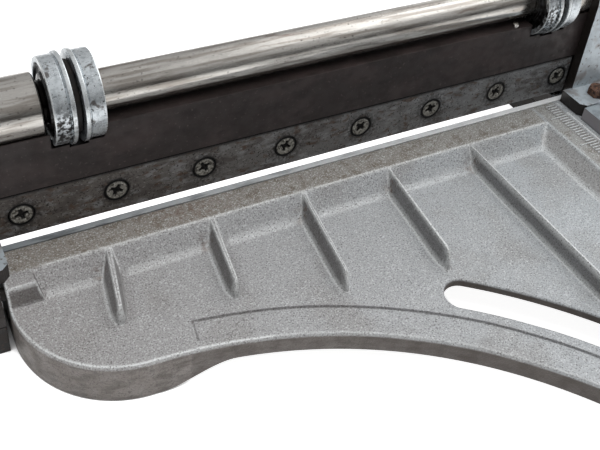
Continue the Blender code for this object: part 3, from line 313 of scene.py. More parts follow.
# Ground tool steel that has been stained by hands: dark grey with brown streaks and fine pits, with a warmer,
# darker painted shade and reflection towards its left end, a black seam along its top edge and painted shade
# in its screw holes.
BLADE_STEEL = Finish(
    "stained_ground_tool_steel", "#777879", 0.35, (0.36, 0.56),
    coats=(
        Coat("#5A534D", Patch(attribute="painted_warm_shade", strength=0.85)),
        Coat("#8E8F90", Patch(3.2, 0.50, 0.66, 6.0, (2.0, 1.0, 1.0), strength=0.6)),
        Coat("#48423F", Patch(5.0, 0.48, 0.64, 6.0, (2.4, 1.0, 1.0), 0.6, strength=0.75)),
        Coat("#4F3B2D", Patch(2.6, 0.55, 0.67, 6.0, (2.2, 1.0, 1.0), 0.15, strength=0.75)),
        Coat("#1F1A18", Patch(0.9, 0.60, 0.66, 3.0, shift=0.4, strength=0.9)),
        Coat("#B2B1AD", Patch(0.7, 0.64, 0.72, 3.0, (2.0, 1.0, 1.0), strength=0.5)),
        Coat("#1A1512", Patch(1.8, 0.42, 0.56, 6.0, shift=0.8, attribute="smudge", strength=0.95)),
        Coat("#050404", Patch(attribute="seam_and_hole_shade")),
    ),
    grains=(Grain(0.9, 0.03, 3.0),),
)
# The same steel on the fixed blade, painted near white as a painted reflection, most of all to the right, and
# fading to grey steel towards its left end.
BLADE_WITH_PAINTED_GLINT = Finish(
    "ground_tool_steel_with_painted_glint", "#F6F8F9", 0.15, (0.3, 0.48),
    coats=(
        Coat("#858B8F", Patch(attribute="dull")),
        Coat("#5F6366", Patch(4.0, 0.45, 0.62, 5.0, (4.0, 1.0, 1.0), attribute="dull", strength=0.8)),
    ),
    grains=(Grain(0.9, 0.03, 3.0),),
)
# Phosphated steel screws whose heads are rubbed bare by the driver: warm grey, with painted shade near black
# in the cross and in the gap round the head.
SCREW_STEEL = Finish(
    "rubbed_phosphated_steel", "#85837C", 0.4, (0.3, 0.45),
    coats=(
        Coat("#47433E", Patch(1.7, 0.46, 0.60, 4.0)),
        Coat("#BDBBB3", Patch(0.9, 0.54, 0.66, 3.0, shift=0.2, strength=0.8)),
        Coat("#050404", Patch(attribute="hollow_shade")),
    ),
    grains=(Grain(0.5, 0.03),),
)
# Turned shaft steel with a thin tarnish: a brownish mirror, dulled in streaks along it, with rust pits, and
# near black with painted shade where a mark says so, on the rod's ends in the gaps beside the journals.
SHAFT_STEEL = Finish(
    "tarnished_turned_steel", "#C9C6C1", 0.95, (0.14, 0.26),
    coats=(
        Coat("#8F877F", Patch(2.2, 0.44, 0.62, 5.0, (14.0, 1.0, 1.0), strength=0.7)),
        Coat("#74594E", Patch(4.5, 0.60, 0.72, 5.0, (5.0, 1.0, 1.0), 0.3, strength=0.6)),
        Coat("#33241E", Patch(1.0, 0.65, 0.71, 2.0, shift=0.5, strength=0.85)),
        Coat("#0B0908", Patch(attribute="end_shade")),
    ),
    grains=(Grain(0.7, 0.012, stretch=(6.0, 1.0, 1.0)),),
    gloss=Patch(3.0, 0.4, 0.62, 4.0, (7.0, 1.0, 1.0), 0.2),
)
# Zinc-plated steel: a blue-grey satin with dull patches, black dirt and a dark smear, a painted highlight on
# its rims and painted shade on its dished faces.
ZINC = Finish(
    "zinc_plated_steel", "#CDD3D7", 0.8, (0.22, 0.36),
    coats=(
        Coat("#9DA4A8", Patch(2.0, 0.45, 0.66, 5.0, strength=0.6)),
        Coat("#4B413A", Patch(4.0, 0.60, 0.68, 6.0, shift=0.37, strength=0.8)),
        Coat("#1C1815", Patch(1.1, 0.62, 0.69, 3.0, shift=0.7, strength=0.9)),
        Coat("#1C1612", Patch(1.7, 0.42, 0.56, 6.0, shift=0.2, attribute="grime_and_shade", strength=0.95)),
        Coat("#E6EAEB", Patch(attribute="rim")),
        Coat("#15110F", Patch(attribute="dish", strength=0.93)),
    ),
    grains=(Grain(0.8, 0.015),),
)
# Black-oxide steel with an oily film: black, with a soft sheen.
BLACK_OXIDE = Finish(
    "black_oxide_steel", "#1D1B1A", 0.4, (0.4, 0.62),
    coats=(
        Coat("#2F2A27", Patch(6.0, 0.45, 0.65, 4.0)),
        Coat("#4A372D", Patch(2.4, 0.6, 0.72, 4.0, strength=0.6)),
    ),
    grains=(Grain(0.9, 0.03),),
)
# Plain steel bolts with a skin of rust: orange brown over dark grey.
RUSTY_STEEL = Finish(
    "rusted_steel", "#6A5145", 0.35, (0.5, 0.75),
    coats=(
        Coat("#3A2A24", Patch(2.0, 0.45, 0.6, 4.0)),
        Coat("#93684D", Patch(1.1, 0.56, 0.68, 4.0, shift=0.4)),
    ),
    grains=(Grain(0.5, 0.08, 3.0),),
)
# Cast bearing bronze, turned and oiled: warm yellow brown with darker oil stains.
BRONZE = Finish(
    "turned_bearing_bronze", "#A7793F", 0.95, (0.25, 0.4),
    coats=(Coat("#6E4A24", Patch(4.0, 0.5, 0.68, 4.0)),),
    grains=(Grain(0.6, 0.02, stretch=(1.0, 4.0, 4.0)),),
)
# Moulded black rubber, dusty from the workshop: dull black with greyer high spots.
RUBBER = Finish(
    "moulded_black_rubber", "#1B1B1C", 0.0, (0.6, 0.82),
    coats=(Coat("#34322F", Patch(8.0, 0.48, 0.66, 5.0, strength=0.8)),),
    grains=(Grain(0.7, 0.06),),
)


# Shapes


@dataclass
class Shape:
    """Points in millimetres, and the faces over them."""

    points: Array
    faces: list[Sequence[int]]
    marks: dict[str, Array] = field(default_factory=dict)


def grid_faces(rows: int, columns: int, loop: bool = False) -> Array:
    """Four-sided faces over a grid of points that is kept row by row, where each row closes on itself.

    Args:
        rows: How many rows of points there are.
        columns: How many points a row has.
        loop: Whether the last row joins the first.

    Returns:
        An array of faces.
    """
    index = np.arange(rows * columns).reshape(rows, columns)
    index = np.hstack([index, index[:, :1]])
    if loop:
        index = np.vstack([index, index[:1]])
    corners = (index[:-1, :-1], index[:-1, 1:], index[1:, 1:], index[1:, :-1])
    return np.stack([corner.ravel() for corner in corners], axis=1)


def arc(centre: Sequence[float], radius: float, start: float, end: float, steps: int) -> Array:
    """Points at even angles along a circle's arc, angles in degrees, both ends included."""
    angle = np.radians(np.linspace(start, end, steps + 1))
    return np.stack([centre[0] + radius * np.cos(angle), centre[1] + radius * np.sin(angle)], axis=1)


def line(first: Sequence[float], last: Sequence[float], step: float) -> Array:
    """Points at even steps along a straight line, both ends included."""
    count = max(1, round(math.dist(first, last) / step))
    return np.linspace(np.array(first, float), np.array(last, float), count + 1)


def rounded(corners: Sequence[Sequence[float]], radius: float, steps: int = 4, ring: bool = False) -> Array:
    """Round the corners of a path: each becomes a curve from a point before it to a point after it.

    Args:
        corners: The path's corner points.
        radius: How far from the corner the curve starts, at most a third of a side.
        steps: How many pieces a curve has.
        ring: Whether the path closes on itself.

    Returns:
        The rounded path, as an array of points.
    """
    path = np.array(corners, float)
    before, after = np.roll(path, 1, 0) - path, np.roll(path, -1, 0) - path
    share = np.linspace(0.0, 1.0, steps + 1)[:, None]
    made = []
    for index, corner in enumerate(path):
        if not ring and index in (0, len(path) - 1):
            made.append(corner[None])
            continue
        sides = [before[index], after[index]]
        ends = [side * min(radius, np.linalg.norm(side) / 3) / np.linalg.norm(side) for side in sides]
        made.append(corner + ends[0] * (1 - share) ** 2 + ends[1] * share ** 2)
    return np.vstack(made)


def revolved(profile: Array, centre: Sequence[float], axis: Sequence[float], segments: int = 72,
             ring: bool = False) -> Shape:
    """Turn a profile about an axis: point = centre + along x axis + radius x (across cos t + aside sin t).

    Args:
        profile: Points of (distance along the axis, radius).
        centre: The axis's starting point.
        axis: The axis's direction.
        segments: How many steps one turn has.
        ring: Whether the profile closes on itself, as a tube's does.

    Returns:
        The turned shape.
    """
    ahead = Vector(axis).normalized()
    across = ahead.orthogonal().normalized()
    aside = ahead.cross(across)
    turn = np.linspace(0.0, 2 * np.pi, segments, endpoint=False)[None, :, None]
    along, radius = profile[:, 0][:, None, None], profile[:, 1][:, None, None]
    spokes = np.array(across) * np.cos(turn) + np.array(aside) * np.sin(turn)
    points = np.array(centre) + along * np.array(ahead) + radius * spokes
    faces = grid_faces(len(profile), segments, loop=ring)
    return Shape(points.reshape(-1, 3), faces.tolist())


def strip(first: Array, last: Array) -> list[list[int]]:
    """Four-sided faces between two closed rings, each given as its points' numbers."""
    return np.stack([first, np.roll(first, -1), np.roll(last, -1), last], axis=1).tolist()


def carried(sections: Array) -> Shape:
    """Join closed sections, each an array of points, that follow each other, and cap both ends."""
    rows, columns = sections.shape[:2]
    ends = [list(range(columns))[::-1], list(range((rows - 1) * columns, rows * columns))]
    return Shape(sections.reshape(-1, 3), grid_faces(rows, columns).tolist() + ends)


def tube_along(path: Array, radius: float, sides: int = 10) -> Shape:
    """Carry a circle along a path, square to it: point = path + radius x (across cos t + aside sin t)."""
    ahead = np.gradient(path, axis=0)
    ahead /= np.linalg.norm(ahead, axis=1)[:, None]
    across = np.cross(ahead, (0.0, 0.0, 1.0))
    across /= np.linalg.norm(across, axis=1)[:, None]
    aside = np.cross(ahead, across)
    turn = np.linspace(0.0, 2 * np.pi, sides, endpoint=False)[None, :, None]
    return carried(path[:, None] + radius * (across[:, None] * np.cos(turn) + aside[:, None] * np.sin(turn)))


def stacked(*parts: Any) -> Array:
    """Points made of their coordinates, each of which is an array or one number for all of them."""
    return np.stack([part.ravel() for part in np.broadcast_arrays(*parts)], axis=1)


def thinned(spots: Array, gap: float) -> Array:
    """Keep the first point of each small square cell, so that no two rows crowd each other."""
    cells = np.floor(spots / gap).astype(int)
    first = np.unique(cells, axis=0, return_index=True)[1]
    return spots[np.sort(first)]


def inside(spots: Array, loop: Array) -> Array:
    """Tell which flat points lie inside a closed loop: a ray from them crosses it an odd number of times."""
    first, last = loop, np.roll(loop, -1, 0)
    found = np.zeros(len(spots), bool)
    for block in np.array_split(np.arange(len(spots)), max(1, len(spots) // 4000)):
        x, y = spots[block, :1], spots[block, 1:]
        spans = (first[:, 1] > y) != (last[:, 1] > y)
        rise = np.where(last[:, 1] == first[:, 1], 1.0, last[:, 1] - first[:, 1])
        reach = first[:, 0] + (y - first[:, 1]) * (last[:, 0] - first[:, 0]) / rise
        found[block] = (spans & (x < reach)).sum(1) % 2 == 1
    return found


def distance(spots: Array, loop: Array) -> Array:
    """Each flat point's distance from a closed loop, by the nearest point of its segments."""
    step = np.roll(loop, -1, 0) - loop
    square = (step ** 2).sum(1)
    found = np.empty(len(spots))
    for block in np.array_split(np.arange(len(spots)), max(1, len(spots) // 3000)):
        offset = spots[block, None] - loop
        share = np.clip((offset * step).sum(2) / square, 0.0, 1.0)
        found[block] = np.sqrt(((offset - share[..., None] * step) ** 2).sum(2).min(1))
    return found


def filled(loops: Sequence[Array], extra: Array | None = None) -> tuple[Array, Array]:
    """Fill an outer loop, less the loops inside it, with triangles whose corners are all given points.

    Args:
        loops: The outer loop, then the holes.
        extra: More points, inside the outer loop.

    Returns:
        The points, loops first and in their order, and the triangles.
    """
    parts = [*loops] + ([] if extra is None else [extra])
    spots = np.vstack(parts)
    edges, start = [], 0
    for loop in loops:
        index = np.arange(len(loop)) + start
        edges.append(np.stack([index, np.roll(index, -1)], axis=1))
        start += len(loop)
    corners = [Vector(spot) for spot in spots.tolist()]
    triangles = np.array(delaunay_2d_cdt(corners, np.vstack(edges).tolist(), [], 0, 1e-5, False)[2])
    middle = spots[triangles].mean(1)
    kept = inside(middle, loops[0])
    for hole in loops[1:]:
        kept &= ~inside(middle, hole)
    return spots, triangles[kept]


def soft_max(first: Array, second: Array, blend: float) -> Array:
    """The larger of two heights, with a fillet where they are within blend of each other."""
    near = np.clip(1.0 - np.abs(first - second) / blend, 0.0, None)
    return np.maximum(first, second) + near ** 2 * blend / 4


def soft_min(first: Array, second: Array, blend: float) -> Array:
    """The smaller of two heights, with a rounded edge where they are within blend of each other."""
    return -soft_max(-first, -second, blend)


def eased(share: Array) -> Array:
    """An S curve from 0 to 1: 3 s squared less 2 s cubed."""
    share = np.clip(share, 0.0, 1.0)
    return share * share * (3 - 2 * share)


def band(gap: Array, width: float) -> Array:
    """A bell curve: 1 where the gap is 0, and about a third one width away from there."""
    return np.exp(-(gap / width) ** 2)


# Pieces


@dataclass(frozen=True)
class Trim:
    """How a mesh is finished: its rounded edges, and the angles that are shaded sharp or rounded."""

    bevel: float = 0.0
    steps: int = 2
    sharp: float = 38.0
    bevelled: float = 32.0


def add_object(name: str, data: bpy.types.ID) -> bpy.types.Object:
    """Put a mesh, lamp or camera into the scene as a new object."""
    made = bpy.data.objects.new(name, data)
    bpy.context.scene.collection.objects.link(made)
    return made


def box(node: str) -> tuple[Vector, Vector]:
    """A CAD node's lowest and highest corner, in millimetres."""
    low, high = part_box(node)
    return low / MM, high / MM


def finish_piece(made: bpy.types.Object, finish: Finish, slot: Slot, body: Body, trim: Trim,
                 nodes: Sequence[str]) -> bpy.types.Object:
    """Shade a piece, give it its material and body, and let it stand for its CAD nodes."""
    mesh = made.data
    mesh.shade_smooth()
    mesh.set_sharp_from_angle(angle=math.radians(trim.sharp))
    if trim.bevel > 0.0:
        edge = made.modifiers.new("edges", "BEVEL")
        edge.width = trim.bevel * MM
        edge.segments = trim.steps
        edge.limit_method = "ANGLE"
        edge.angle_limit = math.radians(trim.bevelled)
        edge.harden_normals = True
    mesh.materials.clear()
    mesh.materials.append(finish.material())
    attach(made, body.value)
    if nodes:
        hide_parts(*nodes)
    LOG.info("%s: %d points, %s", made.name, len(mesh.vertices), finish.name)
    return made


def piece(name: str, shape: Shape, finish: Finish, slot: Slot, body: Body = Body.FRAME, trim: Trim = Trim(),
          nodes: Sequence[str] | None = None) -> bpy.types.Object:
    """Turn a shape into a finished piece.

    Args:
        name: The piece's name.
        shape: Its points and faces.
        finish: Its surface.
        slot: The record's material slot; not used.
        body: The body that it moves with.
        trim: Its edges and shading.
        nodes: The CAD nodes that it stands for, or none where it is the node of that name.

    Returns:
        The new object.
    """
    mesh = bpy.data.meshes.new(name)
    mesh.from_pydata(shape.points * MM, [], shape.faces)
    for mark, values in shape.marks.items():
        mesh.attributes.new(mark, "FLOAT", "POINT").data.foreach_set("value", values.astype(np.float32))
    bm = bmesh.new()
    bm.from_mesh(mesh)
    bmesh.ops.remove_doubles(bm, verts=bm.verts, dist=WELD)
    bmesh.ops.dissolve_degenerate(bm, edges=bm.edges, dist=SLIVER)
    bmesh.ops.recalc_face_normals(bm, faces=bm.faces)
    bm.to_mesh(mesh)
    bm.free()
    made = add_object(name + "_finish", mesh)
    return finish_piece(made, finish, slot, body, trim, [name] if nodes is None else nodes)


def refined(node: str, finish: Finish, slot: Slot, body: Body = Body.FRAME, trim: Trim = Trim(0.4),
            grime_and_shade: Sequence[Sequence[float]] = ()) -> bpy.types.Object:
    """Copy a CAD node, merge its loose triangles and round its edges.

    Args:
        node: The CAD node's name.
        finish: The surface that the copy gets.
        slot: The record's material slot; not used.
        body: The body that it moves with.
        trim: Its edges and shading.
        grime_and_shade: Directions: the mark is 1 on a face that turns about one of these ways, which is
            painted dark as shade.

    Returns:
        The new object.
    """
    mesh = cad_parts[node].data.copy()
    bm = bmesh.new()
    bm.from_mesh(mesh)
    bmesh.ops.remove_doubles(bm, verts=bm.verts, dist=WELD)
    flat_degrees, facing_cosine = 0.8, 0.6
    bmesh.ops.dissolve_limit(bm, angle_limit=math.radians(flat_degrees), verts=bm.verts, edges=bm.edges)
    bm.to_mesh(mesh)
    bm.free()
    # Painted shade: faces that turn one of the given ways are marked to be painted dark.
    if grime_and_shade:
        facing = np.array([face.normal for face in mesh.polygons]) @ np.array(grime_and_shade, float).T
        painted_dark = (facing > facing_cosine).any(1).astype(np.float32)
        mesh.attributes.new("grime_and_shade", "FLOAT", "FACE").data.foreach_set("value", painted_dark)
    return finish_piece(add_object(node + "_finish", mesh), finish, slot, body, trim, [node])


@dataclass(frozen=True)
class Rib:
    """One rib of the casting: its reach, fan and half widths, and how strong its painted shade and shadow
    are.
    """

    number: int
    reach: float
    nose_run: float
    fan: float
    shift: float
    tops: tuple[float, float]
    feet: tuple[float, float]
    painted_shade: float = 0.5
    shade: float = 0.0


RIBS = (
    Rib(0, 37.4, 1.8, 9.8, 0.1, (1.0, 0.7), (4.7, 3.6), 0.38, 0.22),
    Rib(1, 43.3, 3.0, 7.6, 0.2, (1.1, 0.7), (4.4, 3.3), 0.5, 0.22),
    Rib(2, 59.9, 5.5, 6.5, -1.4, (0.8, 0.6), (4.0, 3.0)),
    Rib(3, 67.0, 6.7, 4.5, -2.1, (0.5, 0.5), (3.3, 3.0)),
    Rib(4, 119.0, 6.0, 0.0, -0.9, (0.5, 0.5), (2.6, 2.6)),
)


@dataclass
class TableCasting:
    """The one-piece casting: bar, lobe, arch, arm and ribs, with its slot, panel and scale."""

    floor: float = -11.3
    plate: float = 4.2
    wall: float = 5.5
    edge_round: float = 1.5
    bar_run: float = 8.8
    arm_run: float = 6.8
    arm_inset: float = 57.5
    lug: tuple[float, float] = (13.4, 8.4)
    lug_slopes: tuple[float, float] = (4.5, 5.0)
    lug_fillets: tuple[float, float] = (1.2, 2.2)
    arch_offset: float = 40.8
    arch_radius: float = 222.6
    lobe_radius: float = 50.8
    reach: float = 68.8
    corner: float = 24.0
    lip: float = -23.2
    web: float = -29.0
    foot_end: float = 86.0
    foot_ramp: float = 34.0
    panel: tuple[float, float] = (5.0, 11.0)
    panel_angles: tuple[float, float] = (9.0, 82.6)
    panel_depth: float = 0.9
    slot_rim: float = 6.2
    slot_width: float = 17.3
    slot_round: float = 1.2
    slot_angles: tuple[float, float] = (14.0, 52.9)
    seat: float = 0.3
    seat_edge: float = 36.5
    ridge: float = 39.4
    ridge_height: float = 0.25
    scale_edge: float = 42.2
    scale_middle: float = 45.6
    scale_first: float = 4.0
    scale_pitch: float = 2.13
    scale_long_every: int = 12
    tick_reaches: tuple[float, float] = (6.8, 11.8)
    tick_halves: tuple[float, float] = (0.52, 0.34)
    tick_inset: float = 0.2
    rib_first: float = 48.7
    rib_pitch: float = 51.7
    rib_taper: float = 9.0
    rib_drop: float = 0.6
    edge_fillet: float = 0.9
    foot_fillet: float = 2.6

    def __post_init__(self) -> None:
        """Take the casting's reach from the frame, and place its arcs."""
        low, high = box("table_casting")
        self.left, self.right, self.front, self.back = low.x, high.x, low.y, high.y
        self.ground = low.z
        self.bar_front = -self.back
        self.arm_left = self.right - self.arm_inset
        self.arch = (self.left + self.arch_offset, -self.reach - self.arch_radius)
        self.lobe = (self.left + self.lobe_radius, -self.reach + self.lobe_radius)
        self.panel_inner = self.arch_radius + self.panel[0]
        self.panel_outer = self.panel_inner + self.panel[1]
        self.slot_half = self.slot_width / 2
        self.slot_middle = self.panel_outer + self.slot_rim + self.slot_half

    def outline(self, inset: float = 0.0, step: float = 1.3) -> Array:
        """The casting's plan, moved inwards: as many points for any inset, so that two make a strip."""
        left, right, back = self.left + inset, self.right - inset, self.back - inset
        front = self.front + inset
        turn = self.front + self.corner
        near = self.arch[0] + self.arch_radius
        lengths = (self.back - self.lobe[1], math.pi / 2 * self.lobe_radius, 1.525 * self.arch_radius,
                   math.pi / 2 * self.corner, self.right - near - 2 * self.corner, self.back - turn,
                   self.right - self.left)
        count = [max(2, round(length / step)) for length in lengths]
        parts = [
            np.linspace((left, back), (left, self.lobe[1]), count[0], endpoint=False),
            arc(self.lobe, self.lobe_radius - inset, 180.0, 269.0, count[1]),
            arc(self.arch, self.arch_radius + inset, 87.2, 0.0, count[2]),
            arc((near + self.corner, turn), self.corner - inset, 180.0, 270.0, count[3]),
            np.linspace((near + self.corner, front), (self.right - self.corner, front), count[4])[1:-1],
            arc((self.right - self.corner, turn), self.corner - inset, 270.0, 360.0, count[3]),
            np.linspace((right, turn), (right, back), count[5])[1:-1],
            np.linspace((right, back), (left, back), count[6], endpoint=False),
        ]
        return np.vstack(parts)

    def slot_outline(self, grow: float = 0.0, step: float = 1.0) -> Array:
        """The long curved slot: two arcs about the arch's centre, joined by half circles."""
        low, high = self.slot_angles
        half = self.slot_half + grow
        count = round(math.radians(high - low) * self.slot_middle / step)
        ends = [(self.arch[0] + self.slot_middle * math.cos(math.radians(angle)),
                 self.arch[1] + self.slot_middle * math.sin(math.radians(angle))) for angle in (low, high)]
        round_steps = round(math.pi * self.slot_half / step)
        return np.vstack([
            arc(self.arch, self.slot_middle + half, low, high, count)[:-1],
            arc(ends[1], half, high, high + 180.0, round_steps)[:-1],
            arc(self.arch, self.slot_middle - half, high, low, count)[:-1],
            arc(ends[0], half, low + 180.0, low + 360.0, round_steps)[:-1],
        ])

    def rib_place(self, rib: Rib, x: Array, y: Array) -> tuple[Array, Array]:
        """A point's distance across a rib's middle line, and forwards from the bar along it."""
        turn = math.radians(rib.fan)
        dx = x - (self.left + self.rib_first + rib.number * self.rib_pitch)
        dy = y - self.bar_front
        return math.cos(turn) * dx - math.sin(turn) * dy, -(math.sin(turn) * dx + math.cos(turn) * dy)

    def rib_widths(self, rib: Rib, along: Array) -> tuple[Array, Array]:
        """A rib's half widths at its top and its foot: both narrow along it, the foot most at its nose."""
        share = np.clip(along / rib.reach, 0.0, 1.0)
        top, foot = (start + (end - start) * share for start, end in (rib.tops, rib.feet))
        last = np.clip((along - rib.reach + self.rib_taper) / self.rib_taper, 0.0, 1.0)
        return top, foot - (foot - top - 0.9) * last ** 2

    def rib_height(self, rib: Rib, x: Array, y: Array) -> Array:
        """One rib: a level top that rounds over in a quarter ellipse at its nose, with steep sides."""
        across, along = self.rib_place(rib, x, y)
        past = np.clip((along - rib.reach + rib.nose_run) / rib.nose_run, 0.0, 1.0)
        tall = -self.rib_drop - self.floor
        top = self.floor + tall * np.sqrt(1.0 - past ** 2) - 8.0 * np.maximum(along - rib.reach, 0.0)
        back, foot = self.rib_widths(rib, along)
        side = top - (np.abs(across - rib.shift) - back) * tall / (foot - back)
        return soft_min(top, side, 0.35)

    def plan_height(self, x: Array, y: Array) -> Array:
        """The upper side without its rounded rim: floor, bar, arm, lug and ribs, filleted together."""
        waves = 0.10 * np.sin(x / 9.0 + 1.3 * np.sin(y / 13.0))
        floor = self.floor + waves + 0.07 * np.sin(y / 6.3 + x / 23.0)
        flat = np.zeros_like(x)
        bar = soft_min(flat, -self.floor * (y - self.bar_front) / self.bar_run, self.edge_fillet)
        arm = soft_min(flat, -self.floor * (x - self.arm_left) / self.arm_run, self.edge_fillet)
        lug_right = -self.lug_slopes[0] * (x - self.left - self.lug[0])
        lug_front = self.lug_slopes[1] * (y - self.bar_front + self.lug[1])
        lug = soft_min(soft_min(lug_right, lug_front, self.lug_fillets[0]), flat, self.edge_fillet)
        found = soft_max(soft_max(floor, bar, self.foot_fillet), arm, self.foot_fillet)
        for rib in RIBS:
            across, along = self.rib_place(rib, x, y)
            near = (np.abs(across) < 9.0) & (along > -6.0) & (along < rib.reach + 9.0)
            found = soft_max(found, np.where(near, self.rib_height(rib, x, y), -60.0), self.edge_fillet)
        return np.minimum(soft_max(found, lug, self.lug_fillets[1]), 0.0)

    def polar(self, x: Array, y: Array) -> tuple[Array, Array]:
        """A point's distance from the arch's centre, and its direction from there in degrees."""
        dx, dy = x - self.arch[0], y - self.arch[1]
        return np.hypot(dx, dy), np.degrees(np.arctan2(dy, dx))

    def height(self, x: Array, y: Array) -> Array:
        """The whole upper side: the plan's height less the rounded rims, the panel and the ridged seat."""
        found = self.plan_height(x, y)
        spots = np.stack([x, y], axis=1)
        sharp = np.where(y > self.back - 2.0, 0.35, 1.0)
        inner = self.outline(step=2.6)
        rim_gap = distance(spots, inner) * np.where(inside(spots, inner), 1.0, -1.0)
        sunk = np.clip(self.edge_round - rim_gap, 0.0, self.edge_round)
        found = found - sharp * (self.edge_round - np.sqrt(self.edge_round ** 2 - sunk ** 2))
        span, angle = self.polar(x, y)
        sides = np.minimum(span - self.panel_inner, self.panel_outer - span)
        ends = np.radians(np.minimum(angle - self.panel_angles[0], self.panel_angles[1] - angle)) * span
        found = found - self.panel_depth * eased(np.minimum(sides, ends) / 0.5 + 0.5)
        seated = eased((x - self.right + self.seat_edge) / 0.4 + 0.5) * (y < self.back)
        found = found - self.seat * seated
        gap = np.abs(x - self.right + self.ridge)
        ridge = eased(1.6 - gap / 0.45)
        found = found - self.ridge_height * (1.0 - ridge) * (gap < 2.2) * (y < self.back - 1.0)
        turn = np.clip(np.radians(angle), *np.radians(self.slot_angles))
        slot_x = self.arch[0] + self.slot_middle * np.cos(turn)
        slot_y = self.arch[1] + self.slot_middle * np.sin(turn)
        turned = self.slot_round
        sunk = np.clip(turned - np.hypot(x - slot_x, y - slot_y) + self.slot_half, 0.0, turned)
        return found - turned + np.sqrt(turned ** 2 - sunk ** 2)

    def rib_spots(self, rib: Rib) -> Array:
        """Rows of points along a rib, close together on its sides and at its nose."""
        share = np.array(
            [-0.3, -0.1, 0.0, 0.08, 0.18, 0.35, 0.52, 0.7, 0.84, 0.93, 1.02, 1.14, 1.3, 1.6, 2.0])
        nose = rib.reach - 8.0
        v = np.concatenate([np.arange(-1.0, nose, 1.2), np.arange(nose, rib.reach + 3.0, 0.45)])[:, None]
        back, foot = self.rib_widths(rib, v)
        out = back + share * (foot - back)
        u = rib.shift + np.hstack([-out, out])
        turn = math.radians(rib.fan)
        x = self.left + self.rib_first + rib.number * self.rib_pitch + math.cos(turn) * u - math.sin(turn) * v
        return stacked(x, self.bar_front - math.sin(turn) * u - math.cos(turn) * v)

    def spots(self) -> Array:
        """The points that the upper side is drawn through: close rows along every edge, a grid elsewhere."""
        rows = [self.outline(inset) for inset in (0.25, 0.6, 1.0, 1.5, 2.2, 3.2)]
        rows += [self.slot_outline(grow) for grow in (0.25, 0.6, 1.0, 1.6, 2.4)]
        rows += [self.rib_spots(rib) for rib in RIBS]
        offsets = (3.0, 1.4, 0.7, 0.3, 0.0, -0.3, -0.7, -1.3, -2.4, -4.0, -5.6, -6.8, -7.6, -8.4, -9.2, -10.2,
                   -11.6)
        run = np.arange(self.left + 4.0, self.right - 4.0, 1.5)
        rows += [stacked(run, self.bar_front + offset) for offset in offsets]
        offsets = (3.0, 1.4, 0.7, 0.3, 0.0, -0.3, -0.7, -1.4, -2.8, -4.2, -5.2, -6.0, -6.8, -7.8, -9.2)
        run = np.arange(self.front + 4.0, self.bar_front, 1.5)
        rows += [stacked(self.arm_left + offset, run) for offset in offsets]
        offsets = (-5.3, -4.9, -3.7, -3.3, -2.9, -2.5, -2.1, -1.0, -0.6, -0.3, 0.3)
        rows += [stacked(self.right - self.seat_edge + offset, run) for offset in offsets]
        rows.append(stacked(*np.meshgrid(np.arange(self.left + 1.6, self.left + 20.0, 0.6),
                                         np.arange(self.bar_front - 15.0, self.bar_front, 0.6))))
        offsets = (-0.7, -0.25, 0.25, 0.7)
        for radius in (self.panel_inner, self.panel_outer):
            rows += [arc(self.arch, radius + offset, *self.panel_angles, 300) for offset in offsets]
        ray = np.linspace(self.panel_inner, self.panel_outer, 12)[1:-1]
        for angle in self.panel_angles:
            for offset in offsets:
                turn = math.radians(angle) + offset / self.panel_inner
                rows.append(np.array(self.arch) + ray[:, None] * np.array([math.cos(turn), math.sin(turn)]))
        kept = thinned(np.vstack(rows), 0.3)
        cell = 2.1
        columns, rows = np.arange(self.left, self.right, cell), np.arange(self.front, self.back, cell)
        grid = stacked(*np.meshgrid(columns, rows)) + np.array([0.37, 0.61])
        used = {tuple(spot) for spot in np.unique(np.floor(kept / cell).astype(int), axis=0).tolist()}
        free = [tuple(spot) not in used for spot in np.floor(grid / cell).astype(int).tolist()]
        every = np.vstack([kept, grid[np.array(free)]])
        return every[inside(every, self.outline(0.2)) & ~inside(every, self.slot_outline(0.2))]

    def floor_drop(self, spots: Array) -> Array:
        """How low the side wall reaches at each outline point: feet, arch lip, arm lip and rear web."""
        x, y = spots[:, 0], spots[:, 1]
        fall = self.lip - self.ground
        side = self.ground + fall * eased((x - self.left - self.foot_end) / self.foot_ramp + 1.0)
        front = self.ground + fall * eased((y - self.arch[1]) / 20.0)
        found = np.where(x < self.left + 120.0, side, front)
        return np.where((y > self.back - 8.0) & (x > self.left + 8.0), self.web, found)

    def build(self) -> None:
        """Make the casting: upper side, walls, rim, underside and slot, in one closed mesh."""
        outer, slot = self.outline(), self.slot_outline()
        spots, top = filled([outer, slot], self.spots())
        z = self.height(spots[:, 0], spots[:, 1])
        count, start = len(outer), len(spots)
        inner = self.outline(self.wall)
        low = self.floor_drop(outer)
        rim_z, under = z[:count], self.floor - self.plate
        walls = [np.column_stack([outer, level]) for level in (
            rim_z - 0.5, rim_z - 1.2, (rim_z + low) / 2, low + 1.0)]
        walls += [np.column_stack([self.outline(0.8), low]), np.column_stack([inner, low]),
                  stacked(*inner.T, under)]
        faces = top.tolist()
        ring = np.arange(count)
        rows = [ring] + [start + count * row + ring for row in range(len(walls))]
        for upper, lower in zip(rows, rows[1:]):
            faces += strip(lower, upper)
        hole = np.arange(len(slot))
        slot_low = start + count * len(walls) + hole
        faces += strip(count + hole, slot_low)
        beneath = filled([inner, slot])[1]
        faces += np.concatenate([rows[-1], slot_low])[beneath][:, ::-1].tolist()
        every = np.vstack([np.column_stack([spots, z]), *walls, stacked(*slot.T, under)])
        shape = Shape(every, faces, self.marks(every, start, count, len(walls)))
        piece("table_casting", shape, CAST, Slot.CAST, trim=Trim(sharp=50.0))
        self.build_scale()

